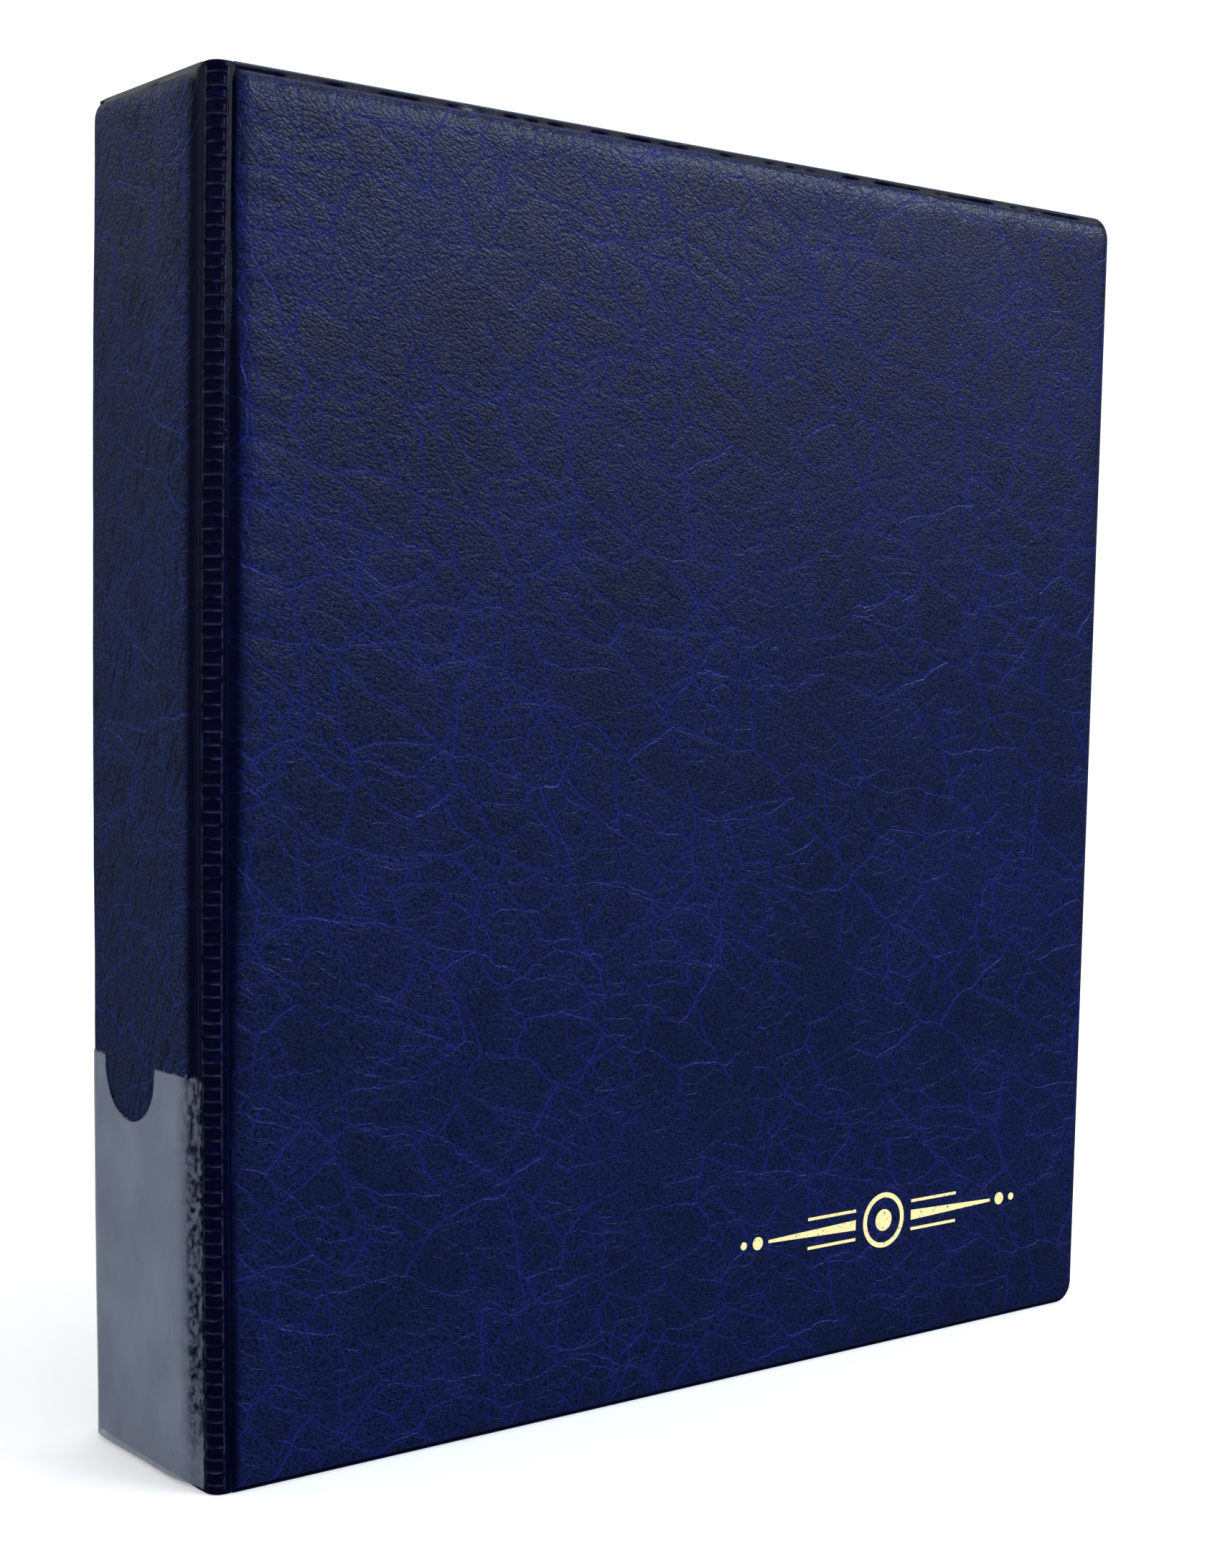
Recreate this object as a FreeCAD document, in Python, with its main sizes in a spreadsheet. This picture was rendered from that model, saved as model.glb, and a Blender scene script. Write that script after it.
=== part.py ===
import FreeCAD, Part
import math
import os
import Sketcher
from FreeCAD import Placement, Rotation, Vector

# Ring album for coin pages, standing closed on its bottom edge.
#
# Frame: origin at the bottom centre of the bounding box, +Z up, X along the covers (spine at -X,
# fore-edge at +X), front cover facing -Y and back cover facing +Y. All sizes are in millimetres.
#
# The case is three boards, each sealed between an outer skin and an inner liner, with a welded
# ladder-pattern strip as the living hinge at each spine corner. A four-ring mechanism is riveted
# to the back cover, and the coin pages hang on its straight posts.

SIZES = [
    ("cover_width", 244.0, "spine plane to fore-edge, over the rims"),
    ("cover_depth", 48.4, "front rim plane to back rim plane"),
    ("cover_height", 270.0, "over the top and bottom rims"),
    ("panel_rise", 1.6, "how far a boarded panel stands proud of its rim"),
    ("skin_gauge", 0.45, "outer vinyl"),
    ("liner_gauge", 0.35, "inner vinyl"),
    ("rim_width", 2.0, "welded bead round a cover"),
    ("panel_corner", 3.0, "corner radius of a panel at the fore-edge"),
    ("shoulder_radius", 0.9, "rounding of a panel's outer edge"),
    ("board_margin", 0.6, "vinyl between a board's edge and its panel's edge"),
    ("cover_shoulder", 5.1, "case corner to the panel, along a cover"),
    ("spine_shoulder", 6.8, "case corner to the panel, along the spine"),
    ("hinge_radius", 4.0, "outside of the rounded case corner"),
    ("hinge_trim", 0.2, "strip end kept back from the cover"),
    ("hinge_inset", 1.6, "hinge line inside both rim planes"),
    ("hinge_reach", 3.0, "hinge line to the start of a cover"),
    ("film_gauge", 0.25, "clear label pocket"),
    ("pocket_height", 81.5, "top edge of the label pocket"),
    ("pocket_overlap", 0.3, "label pocket beyond the spine panel, each side"),
    ("notch_width", 20.4, "thumb notch in the label pocket"),
    ("notch_depth", 12.0, ""),
    ("notch_offset", 4.2, "notch centre towards the back cover"),
    ("foil_gauge", 0.08, "stamped foil ornament"),
    ("foil_across", 175.6, "case corner to the ornament's centre"),
    ("foil_up", 30.5, "bottom edge to the ornament's centre"),
    ("foil_disc_radius", 2.6, ""),
    ("foil_ring_radius", 6.6, ""),
    ("foil_ring_width", 1.2, ""),
    ("foil_bar_start", 9.0, "ornament centre to a tapered bar's thick end"),
    ("foil_bar_length", 27.0, ""),
    ("foil_bar_thick", 2.4, ""),
    ("foil_bar_thin", 0.7, ""),
    ("foil_rule_length", 15.0, "short rules above and below each bar"),
    ("foil_rule_thick", 0.7, ""),
    ("foil_rule_offset", 3.4, ""),
    ("foil_bead_radius", 1.5, ""),
    ("foil_bead_across", 39.2, ""),
    ("foil_dot_radius", 0.9, ""),
    ("foil_dot_across", 43.4, ""),
    ("housing_centre", 33.0, "case corner to the ring mechanism's centre line"),
    ("housing_width", 28.0, ""),
    ("housing_crown", 7.0, ""),
    ("housing_length", 214.0, ""),
    ("housing_gauge", 0.8, ""),
    ("housing_notch_width", 15.2, "end cut-out for a trigger"),
    ("housing_notch_depth", 6.0, ""),
    ("blade_gauge", 0.8, "carrier blades under the housing"),
    ("blade_lift", 1.2, "underside of the blades above the liner"),
    ("blade_margin", 3.5, "housing edge to a blade's outer edge, its pivot line"),
    ("blade_gap", 0.3, "between the two blades"),
    ("blade_length", 204.0, ""),
    ("wire_diameter", 3.0, "rings"),
    ("post_offset", 8.5, "mechanism's centre line to the straight posts"),
    ("ring_height", 37.5, "top of the ring's centre line above the liner"),
    ("ring_radius", 17.0, "large curve of a ring"),
    ("ring_centre", 15.0, "housing edge to the large curve's centre"),
    ("ring_corner", 6.0, "small curve above the post"),
    ("ring_root_radius", 3.0, "small curve at the ring's foot"),
    ("ring_root_top", 4.0, "where the foot starts to curve"),
    ("ring_pitch_middle", 65.0, "between the two middle rings"),
    ("ring_pitch_outer", 45.0, "from a middle ring to an outer one"),
    ("ring_split", 0.3, "gap where a closed ring meets"),
    ("ring_tip_chamfer", 0.5, ""),
    ("slot_height", 5.6, "ring slots in the housing"),
    ("arc_slot_start", 2.4, ""),
    ("arc_slot_length", 6.8, ""),
    ("post_slot_margin", 0.6, "between a post and its slot"),
    ("post_slot_length", 5.2, ""),
    ("rivet_pitch", 184.0, "between the two mounting rivets"),
    ("rivet_diameter", 4.0, ""),
    ("rivet_clearance", 0.1, "radial, in the boards and the housing"),
    ("rivet_relief", 6.8, "diameter of the blades' cut-out round a rivet"),
    ("rivet_head_diameter", 10.0, ""),
    ("rivet_head_height", 0.7, ""),
    ("rivet_flare_diameter", 6.4, ""),
    ("rivet_flare_height", 0.8, ""),
    ("drill_length", 20.0, "cutters for the rivets, through the cover and the housing"),
    ("cut_overshoot", 1.0, "how far a cutter starts outside the surface it opens"),
    ("trigger_width", 14.0, ""),
    ("trigger_length", 14.0, ""),
    ("trigger_gauge", 1.2, ""),
    ("trigger_tilt", 40.0, "finger tab above the cover, in degrees"),
    ("trigger_corner", 4.0, ""),
    ("hub_diameter", 2.2, ""),
    ("hub_length", 19.0, ""),
    ("hub_lift", 1.6, "hub's axis above the liner"),
    ("hub_setback", 2.0, "hub's axis inside the housing's end"),
    ("tongue_length", 4.5, ""),
    ("tongue_width", 3.0, ""),
    ("tongue_gauge", 0.7, ""),
    ("tongue_drop", 1.45, "underside of the tongue below the hub's axis"),
    ("page_width", 200.0, ""),
    ("page_height", 250.0, ""),
    ("page_corner", 3.0, ""),
    ("strip_width", 16.0, "punched binding strip"),
    ("strip_gauge", 0.6, ""),
    ("leaf_gauge", 0.8, "pocket field"),
    ("leaf_gap", 1.4, "crease between strip and pocket field"),
    ("hole_diameter", 6.0, ""),
    ("page_lift", 13.0, "lowest page above the back liner"),
    ("page_pitch", 4.5, ""),
]

SPINE_X = "(-(Sizes.cover_width - Sizes.panel_rise - Sizes.film_gauge) / 2)"
FRONT_Y = "(-(Sizes.cover_depth + Sizes.rivet_head_height) / 2)"
BACK_Y = "((Sizes.cover_depth - Sizes.rivet_head_height) / 2)"
WELD_GAUGE = "(Sizes.skin_gauge + Sizes.liner_gauge)"
BACK_LINER_Y = f"({BACK_Y} - {WELD_GAUGE})"
MIDDLE_Z = "(Sizes.cover_height / 2)"
HOUSING_X = f"({SPINE_X} + Sizes.housing_centre)"
HOUSING_EDGE_X = f"({HOUSING_X} - Sizes.housing_width / 2)"
COVER_START = "(Sizes.hinge_inset + Sizes.hinge_reach)"
BLADE_TOP = "(Sizes.blade_lift + Sizes.blade_gauge)"
POST_X = "(Sizes.housing_width / 2 + Sizes.post_offset)"
PAGE_X = f"({HOUSING_X} + Sizes.post_offset - Sizes.strip_width / 2)"
PAGE_Z = "((Sizes.cover_height - Sizes.page_height) / 2)"
CROWN_RADIUS = ("(((Sizes.housing_width / 2)^2 + Sizes.housing_crown^2)"
                " / (2 * Sizes.housing_crown))")
FOOT_DROP = "(Sizes.ring_height - Sizes.ring_radius - Sizes.ring_root_top)"
FOOT_REACH = f"sqrt((Sizes.ring_radius + Sizes.ring_root_radius)^2 - {FOOT_DROP}^2)"
FOOT_X = f"(Sizes.ring_centre - {FOOT_REACH} + Sizes.ring_root_radius)"
RING_OFFSETS = [
    "(-Sizes.ring_pitch_middle / 2 - Sizes.ring_pitch_outer)",
    "(-Sizes.ring_pitch_middle / 2)",
    "(Sizes.ring_pitch_middle / 2)",
    "(Sizes.ring_pitch_middle / 2 + Sizes.ring_pitch_outer)",
]
RIVET_OFFSETS = ["(-Sizes.rivet_pitch / 2)", "(Sizes.rivet_pitch / 2)"]
PAGE_COUNT = 4

ALONG_X = Rotation(Vector(0, 1, 0), 90)
ALONG_Y = Rotation(Vector(1, 0, 0), -90)
HALF_TURN_X = Rotation(Vector(1, 0, 0), 180)
HALF_TURN_Z = Rotation(Vector(0, 0, 1), 180)
QUARTER_TURN_X = Rotation(Vector(1, 0, 0), 90)
QUARTER_TURN_Z = Rotation(Vector(0, 0, 1), -90)
UPRIGHT = Rotation()

doc = FreeCAD.newDocument("coin_album")


def make_sizes():
    """Keep every driving dimension in one sheet, under a name."""
    sheet = doc.addObject("Spreadsheet::Sheet", "Sizes")
    for row, (name, value, note) in enumerate(SIZES, start=1):
        sheet.set(f"A{row}", name)
        sheet.set(f"B{row}", str(value))
        sheet.set(f"C{row}", note)
        sheet.setAlias(f"B{row}", name)
    doc.recompute()
    return sheet


sizes = make_sizes()


def bind(thing, expressions):
    """Drive properties of a feature from the sheet."""
    for path, expression in expressions.items():
        thing.setExpression(path, expression)


def place(thing, x="0", y="0", z="0", turn=UPRIGHT):
    """Turn a sub-part or feature and drive its position from the sheet."""
    thing.Placement = Placement(Vector(0, 0, 0), turn)
    bind(thing, {"Placement.Base.x": x, "Placement.Base.y": y, "Placement.Base.z": z})


def new_body(label):
    body = doc.addObject("PartDesign::Body", label)
    body.Label = label
    return body


def new_sketch(body, role, offset="0"):
    """A sketch on one of the body's own origin planes, moved along the plane's normal."""
    sketch = body.newObject("Sketcher::SketchObject", body.Label + "_sketch")
    planes = [item for item in body.Origin.OriginFeatures if item.Role == role]
    sketch.AttachmentSupport = (planes[0], "")
    sketch.MapMode = "FlatFace"
    bind(sketch, {"AttachmentOffset.Base.z": offset})
    return sketch


def dimension(sketch, kind, where, name, expression):
    """Add one named constraint, driven from the sheet."""
    value = float(sketch.evalExpression(expression))
    index = sketch.addConstraint(Sketcher.Constraint(kind, *where, value))
    sketch.renameConstraint(index, name)
    sketch.setExpression(f"Constraints.{name}", expression)


def line(sketch, start, end):
    return sketch.addGeometry(Part.LineSegment(Vector(*start, 0), Vector(*end, 0)), False)


def arc(sketch, centre, radius, start_degrees, end_degrees):
    circle = Part.Circle(Vector(*centre, 0), Vector(0, 0, 1), radius)
    ends = [math.radians(start_degrees), math.radians(end_degrees)]
    return sketch.addGeometry(Part.ArcOfCircle(circle, *ends), False)


def relate(sketch, *relations):
    for relation in relations:
        sketch.addConstraint(Sketcher.Constraint(*relation))


def draw_outline(sketch, left, right, low, high, corner=None):
    """A rectangle, with its two right-hand corners rounded where a radius is given."""
    if corner is None:
        corners = [(0, 0), (10, 0), (10, 10), (0, 10)]
        sides = [line(sketch, corners[i], corners[(i + 1) % 4]) for i in range(4)]
        for i in range(4):
            relate(sketch, ("Coincident", sides[i], 2, sides[(i + 1) % 4], 1))
        bottom, right_side, top, left_side = sides
    else:
        bottom = line(sketch, (0, 0), (90, 0))
        low_round = arc(sketch, (90, 10), 10, -90, 0)
        right_side = line(sketch, (100, 10), (100, 90))
        high_round = arc(sketch, (90, 90), 10, 0, 90)
        top = line(sketch, (90, 100), (0, 100))
        left_side = line(sketch, (0, 100), (0, 0))
        relate(
            sketch,
            ("Tangent", bottom, 2, low_round, 1),
            ("Tangent", low_round, 2, right_side, 1),
            ("Tangent", right_side, 2, high_round, 1),
            ("Tangent", high_round, 2, top, 1),
            ("Coincident", top, 2, left_side, 1),
            ("Coincident", left_side, 2, bottom, 1),
            ("Equal", low_round, high_round),
        )
        dimension(sketch, "Radius", (low_round,), "corner", corner)
    relate(
        sketch,
        ("Horizontal", bottom),
        ("Horizontal", top),
        ("Vertical", right_side),
        ("Vertical", left_side),
    )
    dimension(sketch, "DistanceX", (-1, 1, left_side, 1), "left", left)
    dimension(sketch, "DistanceX", (-1, 1, right_side, 1), "right", right)
    dimension(sketch, "DistanceY", (-1, 1, bottom, 1), "low", low)
    dimension(sketch, "DistanceY", (-1, 1, top, 1), "high", high)


def pad(body, sketch, length, midplane=False):
    feature = body.newObject("PartDesign::Pad", body.Label + "_pad")
    feature.Profile = sketch
    feature.Midplane = midplane
    bind(feature, {"Length": length})
    doc.recompute()
    return feature


def pocket(body, sketch, length, midplane=False):
    """Cut a pocket, and make sure that it took material away."""
    before = body.Shape.Volume
    feature = body.newObject("PartDesign::Pocket", body.Label + "_pocket")
    feature.Profile = sketch
    feature.Midplane = midplane
    bind(feature, {"Length": length})
    doc.recompute()
    if feature.Shape.Volume >= before:
        raise RuntimeError(f"{body.Label}: a pocket cuts nothing")
    return feature


def primitive(body, kind, bounds, x="0", y="0", z="0", turn=UPRIGHT):
    """An additive or subtractive primitive of a body, with bound sizes and position."""
    before = body.Shape.Volume if body.Tip else 0.0
    feature = body.newObject(f"PartDesign::{kind}", f"{body.Label}_{kind}")
    place(feature, x, y, z, turn)
    bind(feature, bounds)
    doc.recompute()
    if kind.startswith("Subtractive") and feature.Shape.Volume >= before:
        raise RuntimeError(f"{body.Label}: {kind} cuts nothing")
    return feature


def finish_edges(body, kind, feature, wanted, size_name, expression):
    """Fillet or chamfer the edges of a feature that the test picks."""
    names = [f"Edge{i}" for i, edge in enumerate(feature.Shape.Edges, start=1) if wanted(edge)]
    if not names:
        raise RuntimeError(f"{body.Label}: no edge to finish")
    finished = body.newObject(f"PartDesign::{kind}", f"{body.Label}_{kind}")
    finished.Base = (feature, names)
    bind(finished, {size_name: expression})
    doc.recompute()
    return finished


def lies_at(edge, axis, value):
    """True when an edge lies whole in the plane where the given coordinate has the value."""
    box = edge.BoundBox
    low = getattr(box, axis + "Min")
    high = getattr(box, axis + "Max")
    return abs(low - value) < 0.01 and abs(high - value) < 0.01


# Case panels. Each is drawn as a front cover: local X runs from the case corner, local -Y is
# outwards and local Y = 0 is the rim plane. The back cover is the same panel turned over, and the
# spine is a narrower one turned a quarter.

COVER = {
    "flange": (COVER_START, "Sizes.cover_width", "Sizes.panel_corner + Sizes.rim_width"),
    "panel": ("Sizes.cover_shoulder", "Sizes.cover_width - Sizes.rim_width", "Sizes.panel_corner"),
    "board": ("Sizes.cover_shoulder + Sizes.board_margin",
              "Sizes.cover_width - Sizes.rim_width - Sizes.board_margin",
              "Sizes.panel_corner - Sizes.board_margin"),
}
SPINE = {
    "flange": ("Sizes.hinge_radius", "Sizes.cover_depth - Sizes.hinge_radius", None),
    "panel": ("Sizes.spine_shoulder", "Sizes.cover_depth - Sizes.spine_shoulder", None),
    "board": ("Sizes.spine_shoulder + Sizes.board_margin",
              "Sizes.cover_depth - Sizes.spine_shoulder - Sizes.board_margin", None),
}


def slab_sketch(body, stretch, edge_inset, inner_y):
    """A panel outline in the plane local Y = inner_y, inset from the bottom and top edges."""
    left, right, corner = stretch
    sketch = new_sketch(body, "XZ_Plane", f"-({inner_y})")
    draw_outline(sketch, left, right, edge_inset, f"Sizes.cover_height - {edge_inset}", corner)
    return sketch


def drill_rivet_holes(body):
    """Clearance holes for the mechanism's rivets, through a back cover sub-part."""
    for offset in RIVET_OFFSETS:
        primitive(
            body,
            "SubtractiveCylinder",
            {"Radius": "Sizes.rivet_diameter / 2 + Sizes.rivet_clearance",
             "Height": "Sizes.drill_length"},
            x="Sizes.housing_centre",
            y="-Sizes.drill_length / 2",
            z=f"{MIDDLE_Z} + {offset}",
            turn=ALONG_Y,
        )


def outer_skin(label, panel, riveted=False):
    """Outer vinyl: a flat welded margin and a raised panel, hollow behind for the board."""
    body = new_body(label)
    pad(body, slab_sketch(body, panel["flange"], "0", "Sizes.skin_gauge"), "Sizes.skin_gauge")
    raised = pad(
        body,
        slab_sketch(body, panel["panel"], "Sizes.rim_width", "Sizes.skin_gauge"),
        "Sizes.skin_gauge + Sizes.panel_rise",
    )
    outer_face = -float(sizes.panel_rise)
    finish_edges(
        body, "Fillet", raised, lambda edge: lies_at(edge, "Y", outer_face),
        "Radius", "Sizes.shoulder_radius",
    )
    inset = "(Sizes.rim_width + Sizes.board_margin)"
    cavity = slab_sketch(body, panel["board"], inset, "Sizes.skin_gauge - Sizes.panel_rise")
    pocket(body, cavity, "Sizes.panel_rise")
    if riveted:
        drill_rivet_holes(body)
    return body


def board(label, panel, riveted=False):
    """Greyboard that fills the skin's hollow and lies on the liner."""
    body = new_body(label)
    inset = "(Sizes.rim_width + Sizes.board_margin)"
    pad(body, slab_sketch(body, panel["board"], inset, "Sizes.skin_gauge"), "Sizes.panel_rise")
    if riveted:
        drill_rivet_holes(body)
    return body


def inner_liner(label, panel, riveted=False):
    """Inner vinyl, flat, welded to the outer skin all round."""
    body = new_body(label)
    pad(body, slab_sketch(body, panel["flange"], "0", WELD_GAUGE), "Sizes.liner_gauge")
    if riveted:
        drill_rivet_holes(body)
    return body


def place_front(body):
    place(body, SPINE_X, FRONT_Y)


def place_back(body):
    place(body, SPINE_X, BACK_Y, "Sizes.cover_height", HALF_TURN_X)


def place_spine(body):
    place(body, SPINE_X, BACK_Y, "0", QUARTER_TURN_Z)


def hinge_weld(label):
    """Two welded vinyl layers bent round the case corner, a living hinge of full height."""
    body = new_body(label)
    sketch = new_sketch(body, "XY_Plane")
    radius = float(sizes.hinge_radius)
    weld = float(sizes.skin_gauge) + float(sizes.liner_gauge)
    trim = float(sizes.hinge_trim)
    outside = arc(sketch, (radius, radius), radius, 180, 267)
    inside = arc(sketch, (radius, radius), radius - weld, 180, 266)
    spine_end = line(sketch, (0, radius), (weld, radius))
    cover_end = line(sketch, (radius - trim, 0), (radius - trim, weld))
    relate(
        sketch,
        ("Coincident", outside, 3, inside, 3),
        ("Coincident", outside, 1, spine_end, 1),
        ("Coincident", inside, 1, spine_end, 2),
        ("Coincident", outside, 2, cover_end, 1),
        ("Coincident", inside, 2, cover_end, 2),
        ("Horizontal", spine_end),
        ("Vertical", cover_end),
        ("Horizontal", outside, 3, outside, 1),
    )
    dimension(sketch, "Radius", (outside,), "outer_radius", "Sizes.hinge_radius")
    dimension(sketch, "Radius", (inside,), "inner_radius", f"Sizes.hinge_radius - {WELD_GAUGE}")
    dimension(sketch, "DistanceX", (-1, 1, outside, 3), "centre_across", "Sizes.hinge_radius")
    dimension(sketch, "DistanceY", (-1, 1, outside, 3), "centre_in", "Sizes.hinge_radius")
    dimension(sketch, "DistanceX", (-1, 1, cover_end, 1), "cover_end",
              "Sizes.hinge_radius - Sizes.hinge_trim")
    pad(body, sketch, "Sizes.cover_height")
    return body


def label_pocket():
    """Clear film over the foot of the spine, open at its top edge, with a thumb notch."""
    body = new_body("spine_label_pocket")
    sketch = new_sketch(body, "XZ_Plane", "Sizes.panel_rise")
    draw_outline(
        sketch,
        "Sizes.spine_shoulder - Sizes.pocket_overlap",
        "Sizes.cover_depth - Sizes.spine_shoulder + Sizes.pocket_overlap",
        "Sizes.rim_width",
        "Sizes.pocket_height",
    )
    pad(body, sketch, "Sizes.film_gauge")
    cutter = new_sketch(body, "XZ_Plane", "Sizes.panel_rise")
    radius = float(sizes.notch_width) / 2
    across = float(sizes.cover_depth) / 2 - float(sizes.notch_offset)
    up = float(sizes.pocket_height) - float(sizes.notch_depth) + radius
    mouth = float(sizes.pocket_height) + float(sizes.cut_overshoot)
    bowl = arc(cutter, (across, up), radius, 180, 360)
    right = line(cutter, (across + radius, up), (across + radius, mouth))
    top = line(cutter, (across + radius, mouth), (across - radius, mouth))
    left = line(cutter, (across - radius, mouth), (across - radius, up))
    relate(
        cutter,
        ("Tangent", bowl, 2, right, 1),
        ("Coincident", right, 2, top, 1),
        ("Coincident", top, 2, left, 1),
        ("Tangent", left, 2, bowl, 1),
        ("Vertical", right),
        ("Horizontal", top),
    )
    dimension(cutter, "Radius", (bowl,), "bowl", "Sizes.notch_width / 2")
    dimension(cutter, "DistanceX", (-1, 1, bowl, 3), "across",
              "Sizes.cover_depth / 2 - Sizes.notch_offset")
    dimension(cutter, "DistanceY", (-1, 1, bowl, 3), "up",
              "Sizes.pocket_height - Sizes.notch_depth + Sizes.notch_width / 2")
    dimension(cutter, "DistanceY", (-1, 1, top, 1), "mouth",
              "Sizes.pocket_height + Sizes.cut_overshoot")
    pocket(body, cutter, "2 * Sizes.film_gauge", midplane=True)
    place_spine(body)
    return body


def foil_shape(kind, name, bounds, across, up, turn=UPRIGHT):
    """One simple shape of the ornament, standing on the front panel's face."""
    shape = doc.addObject(kind, name)
    centre_x = f"{SPINE_X} + Sizes.foil_across + ({across})"
    centre_z = f"Sizes.foil_up + ({up})"
    place(shape, centre_x, f"{FRONT_Y} - Sizes.panel_rise", centre_z, turn)
    bind(shape, bounds)
    return shape


def foil_disc(name, radius, across="0"):
    bounds = {"Radius": radius, "Height": "Sizes.foil_gauge"}
    return foil_shape("Part::Cylinder", name, bounds, across, "0", QUARTER_TURN_X)


def foil_bar(side):
    """A bar that tapers away from the ornament's centre."""
    name = "foil_bar_right" if side > 0 else "foil_bar_left"
    bounds = {
        "Xmin": "0",
        "Xmax": "Sizes.foil_gauge",
        "X2min": "0",
        "X2max": "Sizes.foil_gauge",
        "Ymin": "0",
        "Ymax": "Sizes.foil_bar_length",
        "Zmin": "-Sizes.foil_bar_thick / 2",
        "Zmax": "Sizes.foil_bar_thick / 2",
        "Z2min": "-Sizes.foil_bar_thin / 2",
        "Z2max": "Sizes.foil_bar_thin / 2",
    }
    across = "Sizes.foil_bar_start" if side > 0 else "-Sizes.foil_bar_start"
    turn = Rotation(Vector(0, 0, 1), -90)
    if side < 0:
        turn = Rotation(Vector(0, 1, 0), 180) * turn
    return foil_shape("Part::Wedge", name, bounds, across, "0", turn)


def foil_rule(side, level):
    """A short rule beside a bar, above it for level 1 and below it for level -1."""
    name = f"foil_rule_{'right' if side > 0 else 'left'}_{'upper' if level > 0 else 'lower'}"
    bounds = {
        "Length": "Sizes.foil_rule_length",
        "Width": "Sizes.foil_gauge",
        "Height": "Sizes.foil_rule_thick",
    }
    near = "Sizes.foil_bar_start"
    across = near if side > 0 else f"-{near} - Sizes.foil_rule_length"
    up = f"{level} * Sizes.foil_rule_offset - Sizes.foil_rule_thick / 2"
    shape = foil_shape("Part::Box", name, bounds, across, up)
    bind(shape, {"Placement.Base.y": f"{FRONT_Y} - Sizes.panel_rise - Sizes.foil_gauge"})
    return shape


def foil_ornament():
    """A divider ornament of plain shapes, stamped low on the front cover near the fore-edge."""
    ring = doc.addObject("Part::Cut", "foil_ring")
    ring.Base = foil_disc("foil_ring_outer", "Sizes.foil_ring_radius")
    ring.Tool = foil_disc("foil_ring_inner", "Sizes.foil_ring_radius - Sizes.foil_ring_width")
    shapes = [ring, foil_disc("foil_disc", "Sizes.foil_disc_radius")]
    for side in (-1, 1):
        shapes.append(foil_bar(side))
        shapes.append(foil_rule(side, -1))
        shapes.append(foil_rule(side, 1))
        label = "right" if side > 0 else "left"
        bead = foil_disc(f"foil_bead_{label}", "Sizes.foil_bead_radius",
                         f"{side} * Sizes.foil_bead_across")
        dot = foil_disc(f"foil_dot_{label}", "Sizes.foil_dot_radius",
                        f"{side} * Sizes.foil_dot_across")
        shapes += [bead, dot]
    ornament = doc.addObject("Part::Compound", "front_foil_ornament")
    ornament.Label = "front_foil_ornament"
    ornament.Links = shapes
    doc.recompute()
    return ornament


# Ring mechanism. Local X runs from the housing's spine-side edge, local Y is the height above the
# back cover's liner, and local Z = 0 is half way up the album.


def place_mechanism(body, offset="0"):
    place(body, HOUSING_EDGE_X, BACK_LINER_Y, f"{MIDDLE_Z} + {offset}", HALF_TURN_X)


def ring_housing():
    """Arched sheet-metal cover of the mechanism, slotted for the rings and the triggers."""
    body = new_body("ring_housing")
    sketch = new_sketch(body, "XY_Plane")
    outside = arc(sketch, (14, -10.5), 17.5, 37, 143)
    inside = arc(sketch, (14, -10.5), 16.7, 39, 141)
    left = line(sketch, (0, 0), (1, 0))
    right = line(sketch, (27, 0), (28, 0))
    relate(
        sketch,
        ("Coincident", outside, 2, -1, 1),
        ("PointOnObject", outside, 1, -1),
        ("Coincident", inside, 3, outside, 3),
        ("PointOnObject", inside, 1, -1),
        ("PointOnObject", inside, 2, -1),
        ("Coincident", left, 1, outside, 2),
        ("Coincident", left, 2, inside, 2),
        ("Coincident", right, 1, inside, 1),
        ("Coincident", right, 2, outside, 1),
    )
    dimension(sketch, "DistanceX", (-1, 1, outside, 1), "width", "Sizes.housing_width")
    dimension(sketch, "Radius", (outside,), "crown", CROWN_RADIUS)
    dimension(sketch, "Radius", (inside,), "under", f"{CROWN_RADIUS} - Sizes.housing_gauge")
    pad(body, sketch, "Sizes.housing_length", midplane=True)
    slots = [
        ("Sizes.arc_slot_start", "Sizes.arc_slot_length"),
        (f"{POST_X} - Sizes.wire_diameter / 2 - Sizes.post_slot_margin", "Sizes.post_slot_length"),
    ]
    for offset in RING_OFFSETS:
        for start, length in slots:
            primitive(
                body,
                "SubtractiveBox",
                {"Length": length, "Width": "2 * Sizes.housing_crown",
                 "Height": "Sizes.slot_height"},
                x=start,
                y="Sizes.cut_overshoot",
                z=f"{offset} - Sizes.slot_height / 2",
            )
    notch_starts = [
        "-Sizes.housing_length / 2",
        "Sizes.housing_length / 2 - Sizes.housing_notch_depth",
    ]
    for start in notch_starts:
        primitive(
            body,
            "SubtractiveBox",
            {"Length": "Sizes.housing_notch_width", "Width": "2 * Sizes.housing_crown",
             "Height": "Sizes.housing_notch_depth"},
            x="(Sizes.housing_width - Sizes.housing_notch_width) / 2",
            z=start,
        )
    for offset in RIVET_OFFSETS:
        primitive(
            body,
            "SubtractiveCylinder",
            {"Radius": "Sizes.rivet_diameter / 2 + Sizes.rivet_clearance",
             "Height": "2 * Sizes.housing_crown"},
            x="Sizes.housing_width / 2",
            z=offset,
            turn=ALONG_Y,
        )
    place_mechanism(body)
    return body


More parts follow.
